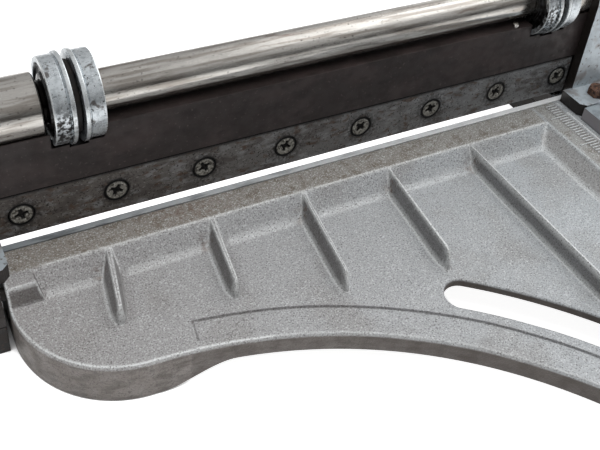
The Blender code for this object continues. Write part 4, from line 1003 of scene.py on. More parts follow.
    def edge_wear_and_highlights(self, x: Array, y: Array) -> Array:
        """Wear on the edges, and painted highlights on the rims, fillets, ridge and arm wall, before other
        marks.
        """
        around = [(math.cos(turn), math.sin(turn)) for turn in np.linspace(0, 2 * math.pi, 8, endpoint=False)]
        relief = self.plan_height(x, y) - np.mean(
            [self.plan_height(x + 0.55 * dx, y + 0.55 * dy) for dx, dy in around], axis=0)
        # Wear on the convex edges, and a painted highlight in the concave fillets.
        wear_and_highlight = np.clip(relief * 4.0 - 0.05, 0.0, 0.7) + np.clip(-relief * 16.0 - 0.15, 0.0, 0.5)
        wear_and_highlight = np.where(self.near_lug(x, y) & ((relief < 0.0) | (y > self.bar_front - 7.0)), 0.0, wear_and_highlight)
        edge_gap = distance(np.stack([x, y], axis=1), self.outline(step=2.6))
        # Painted highlight: a thin bright line just inside the rim.
        rim = band(edge_gap - 0.7, 0.38) * (y < self.back - 3.0)
        wear_and_highlight = np.maximum(wear_and_highlight, rim * np.where(x < self.arch[0] + 60.0, 1.0, 0.5))
        # Painted highlights along the feet of the bar's and the arm's walls, and a weaker one on the arm's
        # wall.
        bar_line = band(y - self.bar_front - 0.1, 0.4) * (x < self.arm_left) * (x > self.left + 20.0)
        arm_line = band(x - self.arm_left - 0.1, 0.4) * (y < self.bar_front)
        wear_and_highlight = np.maximum(wear_and_highlight, 0.5 * bar_line + 0.4 * arm_line)
        wear_and_highlight = np.maximum(wear_and_highlight, 0.3 * self.arm_wall(x, y))
        # Painted highlight along the ridge.
        return np.where((np.abs(x - self.right + self.ridge) < 0.7) & (y < self.back - 2.0), 0.75, wear_and_highlight)

    def near_lug(self, x: Array, y: Array) -> Array:
        """Whether a point lies on the lug at the bar's left end or within 4 mm of it."""
        return (x < self.left + self.lug[0] + 4.0) & (y > self.bar_front - self.lug[1] - 4.0)

    def arm_wall(self, x: Array, y: Array) -> Array:
        """A mark of 1 on the arm's steep left side, short of the bar."""
        past = x - self.arm_left
        wall = eased((past + self.arm_run) / 1.5) * (1.0 - eased((past + 1.5) / 1.5))
        return wall * (1.0 - eased((y - self.bar_front + 6.0) / 4.0))

    def panel_lines(self, x: Array, y: Array) -> Array:
        """The painted shade lines along the sunk panel's edges."""
        span, turn = self.polar(x, y)
        first, last = self.panel_angles
        framed = (turn > first - 0.1) & (turn < last + 0.1)
        lines = 0.62 * band(span - self.panel_outer, 0.4) + 0.3 * band(span - self.panel_inner, 0.4)
        end_line = 0.6 * band(np.radians(turn - last) * span, 0.4)
        end_line *= (span > self.panel_inner) & (span < self.panel_outer)
        return np.clip(framed * lines + end_line, 0.0, 0.8)

    def mark_rib(self, rib: Rib, x: Array, y: Array, level: Array, wear_and_highlight: Array, painted_shade: Array) -> None:
        """Paint shade on a rib's sides and nose and a shadow on the floor to its right, and a highlight along
        its left foot.

        Args:
            rib: The rib.
            x: The points' places along the blade.
            y: Their places from front to back.
            level: The plan's height there.
            wear_and_highlight: The mark of wear and painted highlight, which is changed.
            painted_shade: The mark of painted shade, which is changed.
        """
        across, along = self.rib_place(rib, x, y)
        reach, foot = rib.reach, self.rib_widths(rib, along)[1]
        aside = across - rib.shift
        lost = (-self.rib_drop - level) / (-self.rib_drop - self.floor)
        face = eased((lost - 0.02) / 0.06) * (1.0 - eased((lost - 0.9) / 0.08))
        face *= (np.abs(aside) < foot + 0.6) & (along > 0.0) & (along < reach + 0.8)
        face *= level - self.rib_height(rib, x, y) < 0.5
        nose = eased((along - reach + 0.3 * rib.nose_run) / 0.5) * (along < reach + 0.4)
        face = np.maximum(face, nose * (np.abs(aside) < foot + 0.2))
        # Painted shade on the rib's steep sides and its nose.
        np.maximum(painted_shade, rib.painted_shade * face, out=painted_shade)
        wear_and_highlight *= 1.0 - (aside > 0.9 * foot) * (aside < foot + 3.0) * (along > 2.0) * (along < reach + 2.0)
        whole = eased((along - 5.0) / 3.0) * (along < reach)
        # Painted highlight: a bright line on the floor along the rib's left foot.
        np.maximum(wear_and_highlight, 0.42 * band(-aside - foot - 0.7, 0.6) * whole, out=wear_and_highlight)
        # Painted shadow on the floor to the right of the rib, for the first two ribs.
        shade = (1.0 - eased((aside - foot) / 6.0)) * (aside > foot - 0.4) * whole
        np.maximum(painted_shade, rib.shade * shade, out=painted_shade)

    def top_marks(self, x: Array, y: Array) -> dict[str, Array]:
        """The upper side's marks, from 0 to about 1 at each point."""
        lean = self.plan_height(x + 0.3, y) - self.plan_height(x - 0.3, y)
        rise = self.plan_height(x, y + 0.3) - self.plan_height(x, y - 0.3)
        steep = np.hypot(lean, rise) / 0.6
        hollow_shade = self.panel_lines(x, y)
        wear_and_highlight = self.edge_wear_and_highlights(x, y) * (1.0 - hollow_shade)
        # Painted shade on the lug's steep faces.
        painted_shade = 0.62 * eased((steep - 2.6) / 0.5) * self.near_lug(x, y)
        rust = np.zeros(len(x))
        level = self.plan_height(x, y)
        for rib in RIBS:
            self.mark_rib(rib, x, y, level, wear_and_highlight, painted_shade)
            across, along = self.rib_place(rib, x, y)
            rust += np.exp(-((across + 5.0) ** 2 + (along - self.bar_run) ** 2) / 9.0)
        blot = 0.15 + 0.5 * band(x - self.left - 92.0, 20.0)
        rust += eased((y - self.bar_front) / 3.0) * blot * (x < self.left + 200.0)
        scaled = (np.abs(x - self.right + self.scale_middle) < 3.8) & (y < 5.0) & (y > self.front + 28.0)
        bar = eased((y - self.bar_front + 1.0) / 2.0) * (x < self.arm_left)
        beside = eased((x - self.arm_left - 0.4) / 1.2) * (1.0 - eased((x - self.right + 42.0) / 1.5))
        bar = np.maximum(bar, 0.8 * beside * (y > self.front + 26.0))
        # Painted shade between the scale's ticks.
        hollow_shade = np.where(scaled, 0.3, hollow_shade)
        # The arm's steep left wall also gets the warmer painted shade.
        return {"wear_and_highlight": wear_and_highlight, "hollow_shade": hollow_shade, "side": np.zeros(len(x)), "painted_shade": painted_shade, "bar": bar,
                "painted_warm_shade": self.arm_wall(x, y), "rust": rust}

    def marks(self, every: Array, start: int, count: int, rows: int) -> dict[str, Array]:
        """The marks that steer the finish: wear with painted highlights, painted shade, stains, rust and the
        smoother sides.

        Args:
            every: All points of the casting, those of its upper side first.
            start: How many points the upper side has.
            count: How many points the outline has.
            rows: How many rings of points the walls have.

        Returns:
            Each mark's values, by its name.
        """
        rest = np.zeros(len(every) - start)
        marks = {name: np.concatenate([values, rest])
                 for name, values in self.top_marks(*every[:start, :2].T).items()}
        # Painted shade: a warmer, darker tone that fades out over the casting's left 300 mm.
        marks["painted_warm_shade"] = np.maximum(marks["painted_warm_shade"], np.clip(1.0 - (every[:, 0] - self.left) / 300.0, 0.0, 1.0))
        side, painted_shade = marks["side"], marks["painted_shade"]
        rim, slot_low = slice(start, start + count), start + count * rows
        past = every[start:, 0] - self.arch[0]
        # The walls get a darker, smoother skin, partly painted shade.
        side[start:] = 1.0
        # Painted shade on the walls, more of it to the right.
        painted_shade[start:] = np.where(past > 25.0, 0.5, 0.0) + np.clip((past - 90.0) / 160.0, 0.0, 0.3)
        side[rim] = 0.3
        painted_shade[rim] *= 0.3
        # Near black painted shade on the slot's walls and rim.
        painted_shade[slot_low:] = 0.95
        slot_rim = slice(count, count + len(every) - slot_low)
        painted_shade[slot_rim] = 0.95
        marks["wear_and_highlight"][slot_rim] = 0.0
        return marks

    def build_scale(self) -> None:
        """The scale along the arm: a row of low raised bars, every twelfth one longer."""
        count = int((self.scale_first - self.front - 30.0) / self.scale_pitch)
        step = np.arange(count)
        reach = np.where((step - 5) % self.scale_long_every == 0, *self.tick_reaches[::-1])
        y = self.scale_first - self.scale_pitch * step
        corner = np.array([(*spot, level) for level in (0, 1) for spot in ((0, -1), (1, -1), (1, 1), (0, 1))])
        half = np.array(self.tick_halves)[corner[:, 2]]
        inset = self.tick_inset * corner[:, 2]
        edge = self.right - self.scale_edge
        bars_x = edge - corner[:, 0] * inset - (1 - corner[:, 0]) * (reach[:, None] - inset)
        points = stacked(bars_x, y[:, None] + corner[:, 1] * half, -0.05 + 0.45 * corner[:, 2])
        sides = np.array([(0, 3, 2, 1), (4, 5, 6, 7), (0, 1, 5, 4), (1, 2, 6, 5), (2, 3, 7, 6), (3, 0, 4, 7)])
        faces = (sides[None] + 8 * step[:, None, None]).reshape(-1, 4)
        high = np.tile(corner[:, 2], count)
        # Painted highlight on the ticks' tops, painted shade at their feet.
        marks = {"wear_and_highlight": 0.5 * high, "hollow_shade": 0.7 * (1 - high)}
        piece("arm_scale", Shape(points, faces.tolist(), marks), CAST, Slot.CAST, nodes=())


@dataclass
class CuttingBeam:
    """The sliding beam with its saddles, the let-in blade, its screws and the stop stud."""

    clearance: float = 0.3
    saddle_round: float = 22.5
    saddle_place: tuple[float, float] = (22.476, 68.325)
    flange_round: float = 23.7
    flange_reach: float = 2.5
    roller_reach: float = 1.0
    journal_round: float = 15.35
    hole_round: float = 6.1
    shank_round: float = 2.9
    hole_points: int = 40
    head_points: int = 96
    screw_angles: tuple[float, ...] = (12.0, 62.0, 28.0, 70.0, 50.0, 20.0, 66.0, 35.0)

    def section(self, radius: float = 0.0, centre: tuple[float, float] = (0.0, 0.0)) -> Array:
        """One section of the beam, with its top dished by a circle where the radius isn't 0."""
        low, high = box("beam")
        blade_high = box("upper_blade")[1]
        step = blade_high.y + self.clearance
        seat = blade_high.z + self.clearance
        start = [(high.y, low.z), (step, low.z), (step, seat), (low.y, seat)]
        y = np.linspace(low.y, high.y, 33)
        top = np.full_like(y, high.z)
        if radius > 0.0:
            span = np.clip(radius ** 2 - (y - centre[0]) ** 2, 0.0, None)
            top = np.where(span > 0.0, np.minimum(top, centre[1] - np.sqrt(span)), top)
        return np.vstack([np.array(start), np.column_stack([y, top])])

    def build_beam(self) -> None:
        """Carry the section along the beam, changing it at each saddle."""
        low, high = box("beam")
        places = ("left_outer", "left_inner", "right_inner", "right_outer")
        rollers = [box(f"{place}_roller") for place in places]
        starts, ends = [first.x for first, _ in rollers], [last.x for _, last in rollers]
        plain, journal = self.section(), self.section(self.journal_round, SHAFT)
        roller = self.section(self.saddle_round, self.saddle_place)
        flange = self.section(self.flange_round, self.saddle_place)
        near, deep, far = self.clearance, self.flange_reach, self.roller_reach
        stops = [low.x, starts[0] - far, ends[0] - deep, starts[1] + deep, ends[1] + near, starts[2] - near,
                 ends[2] - deep, starts[3] + deep, ends[3] + far, high.x]
        kinds = [journal, roller, flange, roller, plain, roller, flange, roller, journal]
        sections = [stacked(x, *section.T) for start, end, section in zip(stops, stops[1:], kinds)
                    for x in (start, end)]
        piece("beam", carried(np.stack(sections)), BROWNED, Slot.IRON, Body.BEAM, Trim(0.5, 2, 30.0))

    def build_blade(self) -> None:
        """The blade: a ground plate with a countersunk hole for each screw."""
        low, high = box("upper_blade")
        centres = np.array([self.screw_centre(index) for index in range(len(self.screw_angles))])
        corners = [(low.x, low.z), (high.x, low.z), (high.x, high.z), (low.x, high.z)]
        sides = zip(corners, corners[1:] + corners[:1])
        plan = np.vstack([line(first, last, 2.0)[:-1] for first, last in sides])
        spread = stacked(*np.meshgrid(np.arange(low.x + 0.8, high.x, 1.3),
                                      np.linspace(low.z + 0.5, high.z - 0.5, 18)))
        gap = np.hypot(*(spread[:, None] - centres).transpose(2, 0, 1)).min(1)
        spread = spread[gap > self.hole_round + 0.5]
        depths = (0.0, 0.45, 2.75, high.y - low.y)
        radii = (self.hole_round, self.hole_round, self.shank_round, self.shank_round)
        loops = [[arc(centre, radius, 0.0, 360.0, self.hole_points)[:-1] for centre in centres]
                 for radius in radii]
        flat, front = filled([plan, *loops[0]], spread)
        back = filled([plan, *loops[-1]])[1]
        size = len(plan) + self.hole_points * len(centres)
        layers = [flat, *[np.vstack([plan, *ring]) for ring in loops[1:]]]
        points = np.vstack([stacked(layer[:, 0], low.y + depth, layer[:, 1])
                            for layer, depth in zip(layers, depths)])
        starts = [0, len(flat), len(flat) + size, len(flat) + 2 * size]
        edge = np.arange(len(plan))
        faces = front.tolist() + (back + starts[3])[:, ::-1].tolist() + strip(edge, edge + starts[3])
        for hole in range(len(centres)):
            ring = len(plan) + self.hole_points * hole + np.arange(self.hole_points)
            after = np.roll(ring, -1)
            for upper, lower in zip(starts, starts[1:]):
                faces += np.stack([ring + upper, ring + lower, after + lower, after + upper], axis=1).tolist()
        # Black along the seam at the top edge, and painted shade in the screw holes.
        gap = np.hypot(*(points[:, None, ::2] - centres).transpose(2, 0, 1)).min(1)
        seam_and_hole_shade = np.clip((points[:, 2] - high.z + 0.9) / 0.5, 0.0, 1.0) + (gap < 6.2)
        # Painted shade and reflection: a warmer, darker brown towards the blade's left end.
        to_right = (high.x - points[:, 0]) / (high.x - low.x)
        marks = {"smudge": np.clip(1.6 - gap / 8.0, 0.0, 1.0) * 0.9, "seam_and_hole_shade": np.clip(seam_and_hole_shade, 0.0, 1.0),
                 "painted_warm_shade": np.clip(to_right * 1.5 - 0.3, 0.0, 1.0)}
        trim = Trim(0.15, 2, 30.0)
        piece("upper_blade", Shape(points, faces, marks), BLADE_STEEL, Slot.BLADE, Body.BEAM, trim)

    def screw_centre(self, index: int) -> tuple[float, float]:
        """A blade screw's middle, in X and Z."""
        low, high = box(f"blade_screw_{index + 1}")
        return ((low.x + high.x) / 2, (low.z + high.z) / 2)

    def build_screw(self, index: int) -> None:
        """A flat head with a cross sunk in it: depth = the lesser of the two bars' shares, eased."""
        low, high = box(f"blade_screw_{index + 1}")
        centre_x, centre_z = self.screw_centre(index)
        head = (high.x - low.x) / 2
        radius = np.concatenate([np.linspace(0.0, 3.9, 34), np.linspace(4.1, head - 0.35, 6)])
        turn = np.radians(np.linspace(0.0, 360.0, self.head_points, endpoint=False))
        spin = math.radians(self.screw_angles[index])
        u = radius[:, None] * np.cos(turn - spin)
        v = radius[:, None] * np.sin(turn - spin)
        length, width = 3.5 - np.maximum(np.abs(u), np.abs(v)), 1.05 - np.minimum(np.abs(u), np.abs(v))
        centre_pit = eased((2.1 - radius[:, None]) / 0.7)
        sunk = np.maximum(eased(np.minimum(length / 0.9, width / 0.45)), centre_pit)
        depth = 1.7 * sunk * eased((3.6 - radius[:, None]) / 2.4 + 0.35)
        rim = np.array([(head - 0.12, 0.06), (head, 0.25), (head, 0.45), (2.8, 2.6), (2.8, 3.0)])
        outer_r = np.concatenate([radius, rim[:, 0], [0.0]])
        outer_d = np.vstack([depth, np.repeat(np.append(rim[:, 1], 3.0)[:, None], self.head_points, 1)])
        x = centre_x + outer_r[:, None] * np.cos(turn)
        z = centre_z + outer_r[:, None] * np.sin(turn)
        # Painted shade near black in the cross and in the ring at the head's edge.
        ringed = eased((outer_r - head + 0.95) / 0.5) * (outer_r > 4.0)
        recess_shade = (np.pad(sunk, ((0, len(rim) + 1), (0, 0))) + ringed[:, None]).ravel()
        faces = grid_faces(len(outer_r), self.head_points).tolist()
        shape = Shape(stacked(x, low.y + outer_d, z), faces, {"hollow_shade": np.clip(recess_shade * 1.3, 0.0, 1.0)})
        piece(f"blade_screw_{index + 1}", shape, SCREW_STEEL, Slot.SCREW, Body.BEAM, Trim(sharp=60.0))

    def build(self) -> None:
        """Make the beam and everything that slides with it."""
        self.build_beam()
        self.build_blade()
        for index in range(len(self.screw_angles)):
            self.build_screw(index)
        turned_piece("beam_stud", Axis.Z, SHAFT_STEEL, Slot.BRIGHT, Body.BEAM, 0.4)


def turned_piece(node: str, axis: Axis, finish: Finish, slot: Slot, body: Body, soft: float,
                 segments: int = 72) -> bpy.types.Object:
    """A plain round bar in a CAD node's place.

    Args:
        node: The CAD node that the piece stands for.
        axis: The bar's axis.
        finish: Its surface.
        slot: The record's material slot; not used.
        body: The body that it moves with.
        soft: How far its corners are rounded.
        segments: How many steps one turn has.

    Returns:
        The new object.
    """
    low, high = (np.array(corner) for corner in box(node))
    ahead, across, _ = (np.array(part) for part in axis.value)
    middle = (low + high) / 2
    start = middle + ahead * ((low - middle) @ ahead)
    length, radius = (high - low) @ ahead, (high - low) @ across / 2
    profile = rounded([(0.0, 0.0), (0.0, radius), (length, radius), (length, 0.0)], soft)
    return piece(node, revolved(profile, start, ahead, segments), finish, slot, body, Trim(sharp=45.0))


def about_x(node: str, profile: Array, segments: int, ring: bool = False) -> Shape:
    """Turn a profile about X in a CAD node's place, from the node's left end."""
    low, high = box(node)
    centre = (low.x, (low.y + high.y) / 2, (low.z + high.z) / 2)
    return revolved(profile, centre, Axis.X.value[0], segments, ring)


@dataclass
class Crank:
    """The turning parts: eccentric rod, journals, rollers, spacers, collar and grub screws."""

    rod: float = 19.05
    rod_end: float = 14.0
    seat: float = 14.0
    end_shade_run: float = 3.0
    flange: float = 41.8
    plain: float = 40.0
    flange_width: float = 2.0
    rim: float = 2.6
    dish: float = 1.6
    points: int = 96
    roller_points: int = 112
    fade: float = 0.8
    clearance: float = 0.3
    collar_bore: float = 15.2

    def __post_init__(self) -> None:
        """Work out the bore of what sits on the rod."""
        self.bore = self.rod / 2 + self.clearance

    def build_rod(self) -> None:
        """The eccentric rod: a full round between two thinner ends that sit in the journals."""
        low, high = box("eccentric_rod")
        length = high.x - low.x
        thin, full, near = self.rod_end / 2, self.rod / 2, self.seat + self.clearance
        corners = [(0.0, 0.0), (0.0, thin), (near, thin), (near, full), (length - near, full),
                   (length - near, thin), (length, thin), (length, 0.0)]
        profile = rounded(corners, 0.5)
        end_shade, clean = self.seat + self.end_shade_run, self.seat + self.end_shade_run + self.fade
        for place in (length - self.seat - self.end_shade_run - self.fade, length - self.seat - self.end_shade_run,
                      clean, end_shade):
            spot = np.searchsorted(profile[:, 0], place)
            profile = np.insert(profile, spot, (place, full), axis=0)
        shape = about_x("eccentric_rod", profile, self.points)
        # Painted shade: the rod is near black where it shows in the gaps beside the journals.
        past_seat = np.minimum(shape.points[:, 0] - low.x, high.x - shape.points[:, 0]) - self.seat
        shape.marks["end_shade"] = 1.0 - eased((past_seat - self.end_shade_run) / self.fade)
        piece("eccentric_rod", shape, SHAFT_STEEL, Slot.BRIGHT, Body.CRANK, Trim(sharp=45.0))

    def build_roller(self, node: str, body: Body, flange_first: bool) -> None:
        """A flanged roller: dished outer face, rounded rim, a shallow groove and a narrow flange."""
        low, high = box(node)
        width, bore = high.x - low.x, self.bore
        outer, flange, hub = self.plain / 2, self.flange / 2, bore + self.rim
        step = width - self.flange_width
        corners = np.array([
            (0.0, bore), (0.0, hub), (self.dish, hub + 0.4), (self.dish, outer - self.rim - 0.4),
            (0.0, outer - self.rim), (0.0, outer - 0.2), (0.5, outer), (step - 0.9, outer),
            (step - 0.6, outer - 0.5), (step - 0.1, outer - 0.5), (step, flange), (width, flange),
            (width, bore)])
        if flange_first:
            corners = np.column_stack([width - corners[:, 0], corners[:, 1]])[::-1]
        profile = rounded(corners, 0.45, 3, True)
        shape = about_x(node, profile, self.roller_points, True)
        outside, radius = (width - profile[:, 0] if flange_first else profile[:, 0]), profile[:, 1]
        # Painted highlight on the flange's rim and on the outer face's edge.
        rim_highlight = 0.55 * (radius > flange - 0.12) + 0.7 * (outside < 0.6) * (radius > outer - 0.6)
        shape.marks["rim"] = np.repeat(rim_highlight, self.roller_points)
        # Painted shade near black on the dished face and the hub.
        shape.marks["dish"] = np.repeat(eased((outer - self.rim + 0.1 - radius) / 0.4), self.roller_points)
        y, z = (shape.points[:, axis] - (low[axis] + high[axis]) / 2 for axis in (1, 2))
        around = np.degrees(np.arctan2(z, y)) % 360.0
        shape.marks["grime_and_shade"] = eased(1.6 - np.abs(around - 191.0) / 26.0) * (not flange_first)
        piece(node, shape, ZINC, Slot.ZINC, body, Trim(sharp=50.0))

    def build_ring(self, node: str, bore: float, finish: Finish, slot: Slot) -> None:
        """A plain ring in a CAD node's place."""
        low, high = box(node)
        width, outer = high.x - low.x, (high.z - low.z) / 2
        corners = [(0.0, bore), (0.0, outer), (width, outer), (width, bore)]
        shape = about_x(node, rounded(corners, 0.5, 3, True), self.points, True)
        piece(node, shape, finish, slot, Body.CRANK, Trim(sharp=50.0))

    def build(self) -> None:
        """Make everything that turns with the shaft."""
        self.build_rod()
        for side in ("left", "right"):
            turned_piece(f"{side}_journal", Axis.X, SHAFT_STEEL, Slot.BRIGHT, Body.CRANK, 0.8, self.points)
            refined(f"{side}_grub_screw", BLACK_OXIDE, Slot.DARK, Body.CRANK, Trim(0.3))
            self.build_ring(f"{side}_roller_spacer", self.bore, BLACK_OXIDE, Slot.DARK)
        for body, flange_first in ((Body.LEFT_OUTER, False), (Body.LEFT_INNER, True),
                                   (Body.RIGHT_INNER, False), (Body.RIGHT_OUTER, True)):
            self.build_roller(body.value.removesuffix("_body"), body, flange_first)
        self.build_ring("left_collar", self.collar_bore, SHAFT_STEEL, Slot.BRIGHT)


@dataclass
class Handle:
    """The hub on the right journal, with its lever, rubber grip and set screw."""

    lean: float = 30.0
    lever_round: float = 8.0
    lever_length: float = 300.0
    lever_seat: float = 24.0
    grip_round: float = 14.0
    grip_length: float = 115.0
    grip_start: float = 214.0
    grooves: int = 18
    groove_depth: float = 0.55
    groove_start: float = 6.0

    def build(self) -> None:
        """Make the hub, lever and grip."""
        refined("handle_hub", BROWNED, Slot.IRON, Body.CRANK, Trim(0.8, 3))
        refined("hub_set_screw", BLACK_OXIDE, Slot.DARK, Body.CRANK, Trim(0.3))
        low, high = box("handle_hub")
        up = (0.0, math.sin(math.radians(self.lean)), math.cos(math.radians(self.lean)))
        centre = ((low.x + high.x) / 2, *SHAFT)
        seat, end = self.lever_seat, self.lever_seat + self.lever_length
        bar = rounded([(seat, 0.0), (seat, self.lever_round), (end, self.lever_round), (end, 0.0)], 0.8)
        piece("lever", revolved(bar, centre, up, 64), SHAFT_STEEL, Slot.BRIGHT, Body.CRANK, Trim(sharp=45.0))
        piece("grip", self.grip(centre, up), RUBBER, Slot.RUBBER, Body.CRANK, Trim(sharp=60.0))

    def grip(self, centre: Sequence[float], up: Sequence[float]) -> Shape:
        """The grip: a blind sleeve whose radius dips in even rings, with a collar and a round end."""
        first, last = self.groove_start, self.grip_length - 12.0
        along = np.linspace(first, last, 6 * self.grooves + 1)
        wave = np.cos(2 * np.pi * self.grooves * (along - first) / (along[-1] - first))
        ripple = self.groove_depth * (0.5 - 0.5 * wave)
        body = np.column_stack([along, self.grip_round - 0.1 - ripple])
        bore = self.lever_round + 0.2
        floor = self.grip_length - 4.8
        start = np.array([(floor, 0.0), (floor, bore), (0.0, bore), (0.0, self.grip_round - 1.2),
                          (1.2, self.grip_round), (4.5, self.grip_round)])
        turn = np.linspace(0.1, np.pi / 2, 12)
        end = np.column_stack([self.grip_length - 11.0 + 11.0 * np.sin(turn),
                               self.grip_round * np.cos(turn) ** 0.6])
        end[-1, 1] = 0.0
        profile = np.vstack([start, body, end])
        profile[:, 0] += self.grip_start
        return revolved(profile, centre, up, 72)


@dataclass
class EndFrames:
    """The two end frames with their base bars, bushes, gibs, springs, screws and bolts."""

    spring_round: float = 2.7
    spring_wire: float = 0.5
    spring_turns: int = 7
    spring_end_rise: float = 1.55
    turn_steps: int = 24
    bolt_points: int = 72
    bolt_levels: tuple[float, ...] = (0.0, 0.0, 0.08, 0.4, 0.85, 4.4, 4.4)
    bolt_crown: tuple[float, ...] = (0.0, 4.6, 4.9, 5.3, 5.9, 5.9, 3.0, 3.0, 0.0)
    bolt_half_width: float = 5.0

    def build_spring(self, side: str) -> None:
        """A return spring: a circle carried along a helix whose end turns lie closer."""
        low, high = box(f"{side}_return_spring")
        middle = (low + high) / 2
        turns = np.linspace(0.0, 1.0, self.spring_turns * self.turn_steps) * self.spring_turns
        dead, tall = self.spring_end_rise, (high.z - low.z) - 2 * self.spring_wire
        live = dead + (tall - 2 * dead) * (turns - 1.0) / (self.spring_turns - 2)
        rise = np.where(turns < 1.0, dead * turns, live)
        rise = np.where(turns > self.spring_turns - 1, tall - dead * (self.spring_turns - turns), rise)
        path = np.column_stack([
            middle.x + self.spring_round * np.cos(2 * np.pi * turns),
            middle.y + self.spring_round * np.sin(2 * np.pi * turns), low.z + self.spring_wire + rise])
        made = piece(f"{side}_return_spring", tube_along(path, self.spring_wire), SHAFT_STEEL, Slot.BRIGHT)
        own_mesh(made)

    def build_hex_bolt(self, node: str, axis: Axis, finish: Finish, head_low: bool) -> None:
        """A hexagon head with a turned crown, on its shank: the crown cuts the hexagon's corners."""
        low, high = (np.array(corner) for corner in box(node))
        ahead, across, aside = (np.array(part) for part in axis.value)
        middle = (low + high) / 2
        turn = np.linspace(0.0, 2 * np.pi, self.bolt_points, endpoint=False)
        flat = self.bolt_half_width / np.cos((turn + np.pi / 6) % (np.pi / 3) - np.pi / 6)
        reach = (high - low) @ ahead
        levels = np.array([*self.bolt_levels, reach, reach])
        radii = np.minimum(np.array(self.bolt_crown)[:, None], flat)
        start = middle + ahead * (((low if head_low else high) - middle) @ ahead)
        place = ahead if head_low else -ahead
        spokes = across * np.cos(turn)[:, None] + aside * np.sin(turn)[:, None]
        points = start + levels[:, None, None] * place + radii[..., None] * spokes
        shape = Shape(points.reshape(-1, 3), grid_faces(len(levels), self.bolt_points).tolist())
        piece(node, shape, finish, Slot.BRIGHT, trim=Trim(sharp=25.0))

    def build(self) -> None:
        """Dress both end frames and what they carry."""
        for side in ("left", "right"):
            # Painted shade on the frames' left faces, and on the left frame's front faces too.
            painted_dark = [(-1, 0, 0), (0, -1, 0)] if side == "left" else [(-1, 0, 0)]
            refined(f"{side}_end_frame", FRAME_METAL, Slot.FRAME, trim=Trim(1.4, 4), grime_and_shade=painted_dark)
            refined(f"{side}_base_bar", BLACK_OXIDE, Slot.DARK, trim=Trim(0.6))
            refined(f"{side}_base_screw", BLACK_OXIDE, Slot.BRIGHT, trim=Trim(0.2))
            refined(f"{side}_shaft_bush", BRONZE, Slot.BRONZE, trim=Trim(0.4))
            refined(f"{side}_gib", BRONZE, Slot.BRONZE, trim=Trim(0.4))
            self.build_spring(side)
            for index in (1, 2):
                self.build_hex_bolt(f"{side}_adjusting_screw_{index}", Axis.Y, BLACK_OXIDE, False)
        for index in (1, 2):
            self.build_hex_bolt(f"left_frame_bolt_{index}", Axis.X, BLACK_OXIDE, True)
            self.build_hex_bolt(f"right_frame_bolt_{index}", Axis.Z, RUSTY_STEEL, False)


@dataclass
class FixedParts:
    """The lower blade and the fence, with their screws."""

    def build(self) -> None:
        """Dress the parts that are screwed to the table."""
        blade = refined("lower_blade", BLADE_WITH_PAINTED_GLINT, Slot.BLADE, trim=Trim(0.2))
        # The painted reflection fades to grey steel towards the blade's left end.
        dull = [eased((20.0 - point.co.x / MM) / 130.0) for point in blade.data.vertices]
        mark = blade.data.attributes.new("dull", "FLOAT", "POINT")
        mark.data.foreach_set("value", np.array(dull, np.float32))
        # Painted shade: a warmer grey on the fence's left faces.
        refined("fence_bar", FENCE_METAL, Slot.FRAME, trim=Trim(0.5, 3), grime_and_shade=[(-1, 0, 0)])
        for index in range(1, 6):
            refined(f"lower_blade_screw_{index}", SCREW_STEEL, Slot.SCREW, trim=Trim(0.15))
        for index in range(1, 4):
            refined(f"fence_screw_{index}", SCREW_STEEL, Slot.BRIGHT, trim=Trim(0.15))


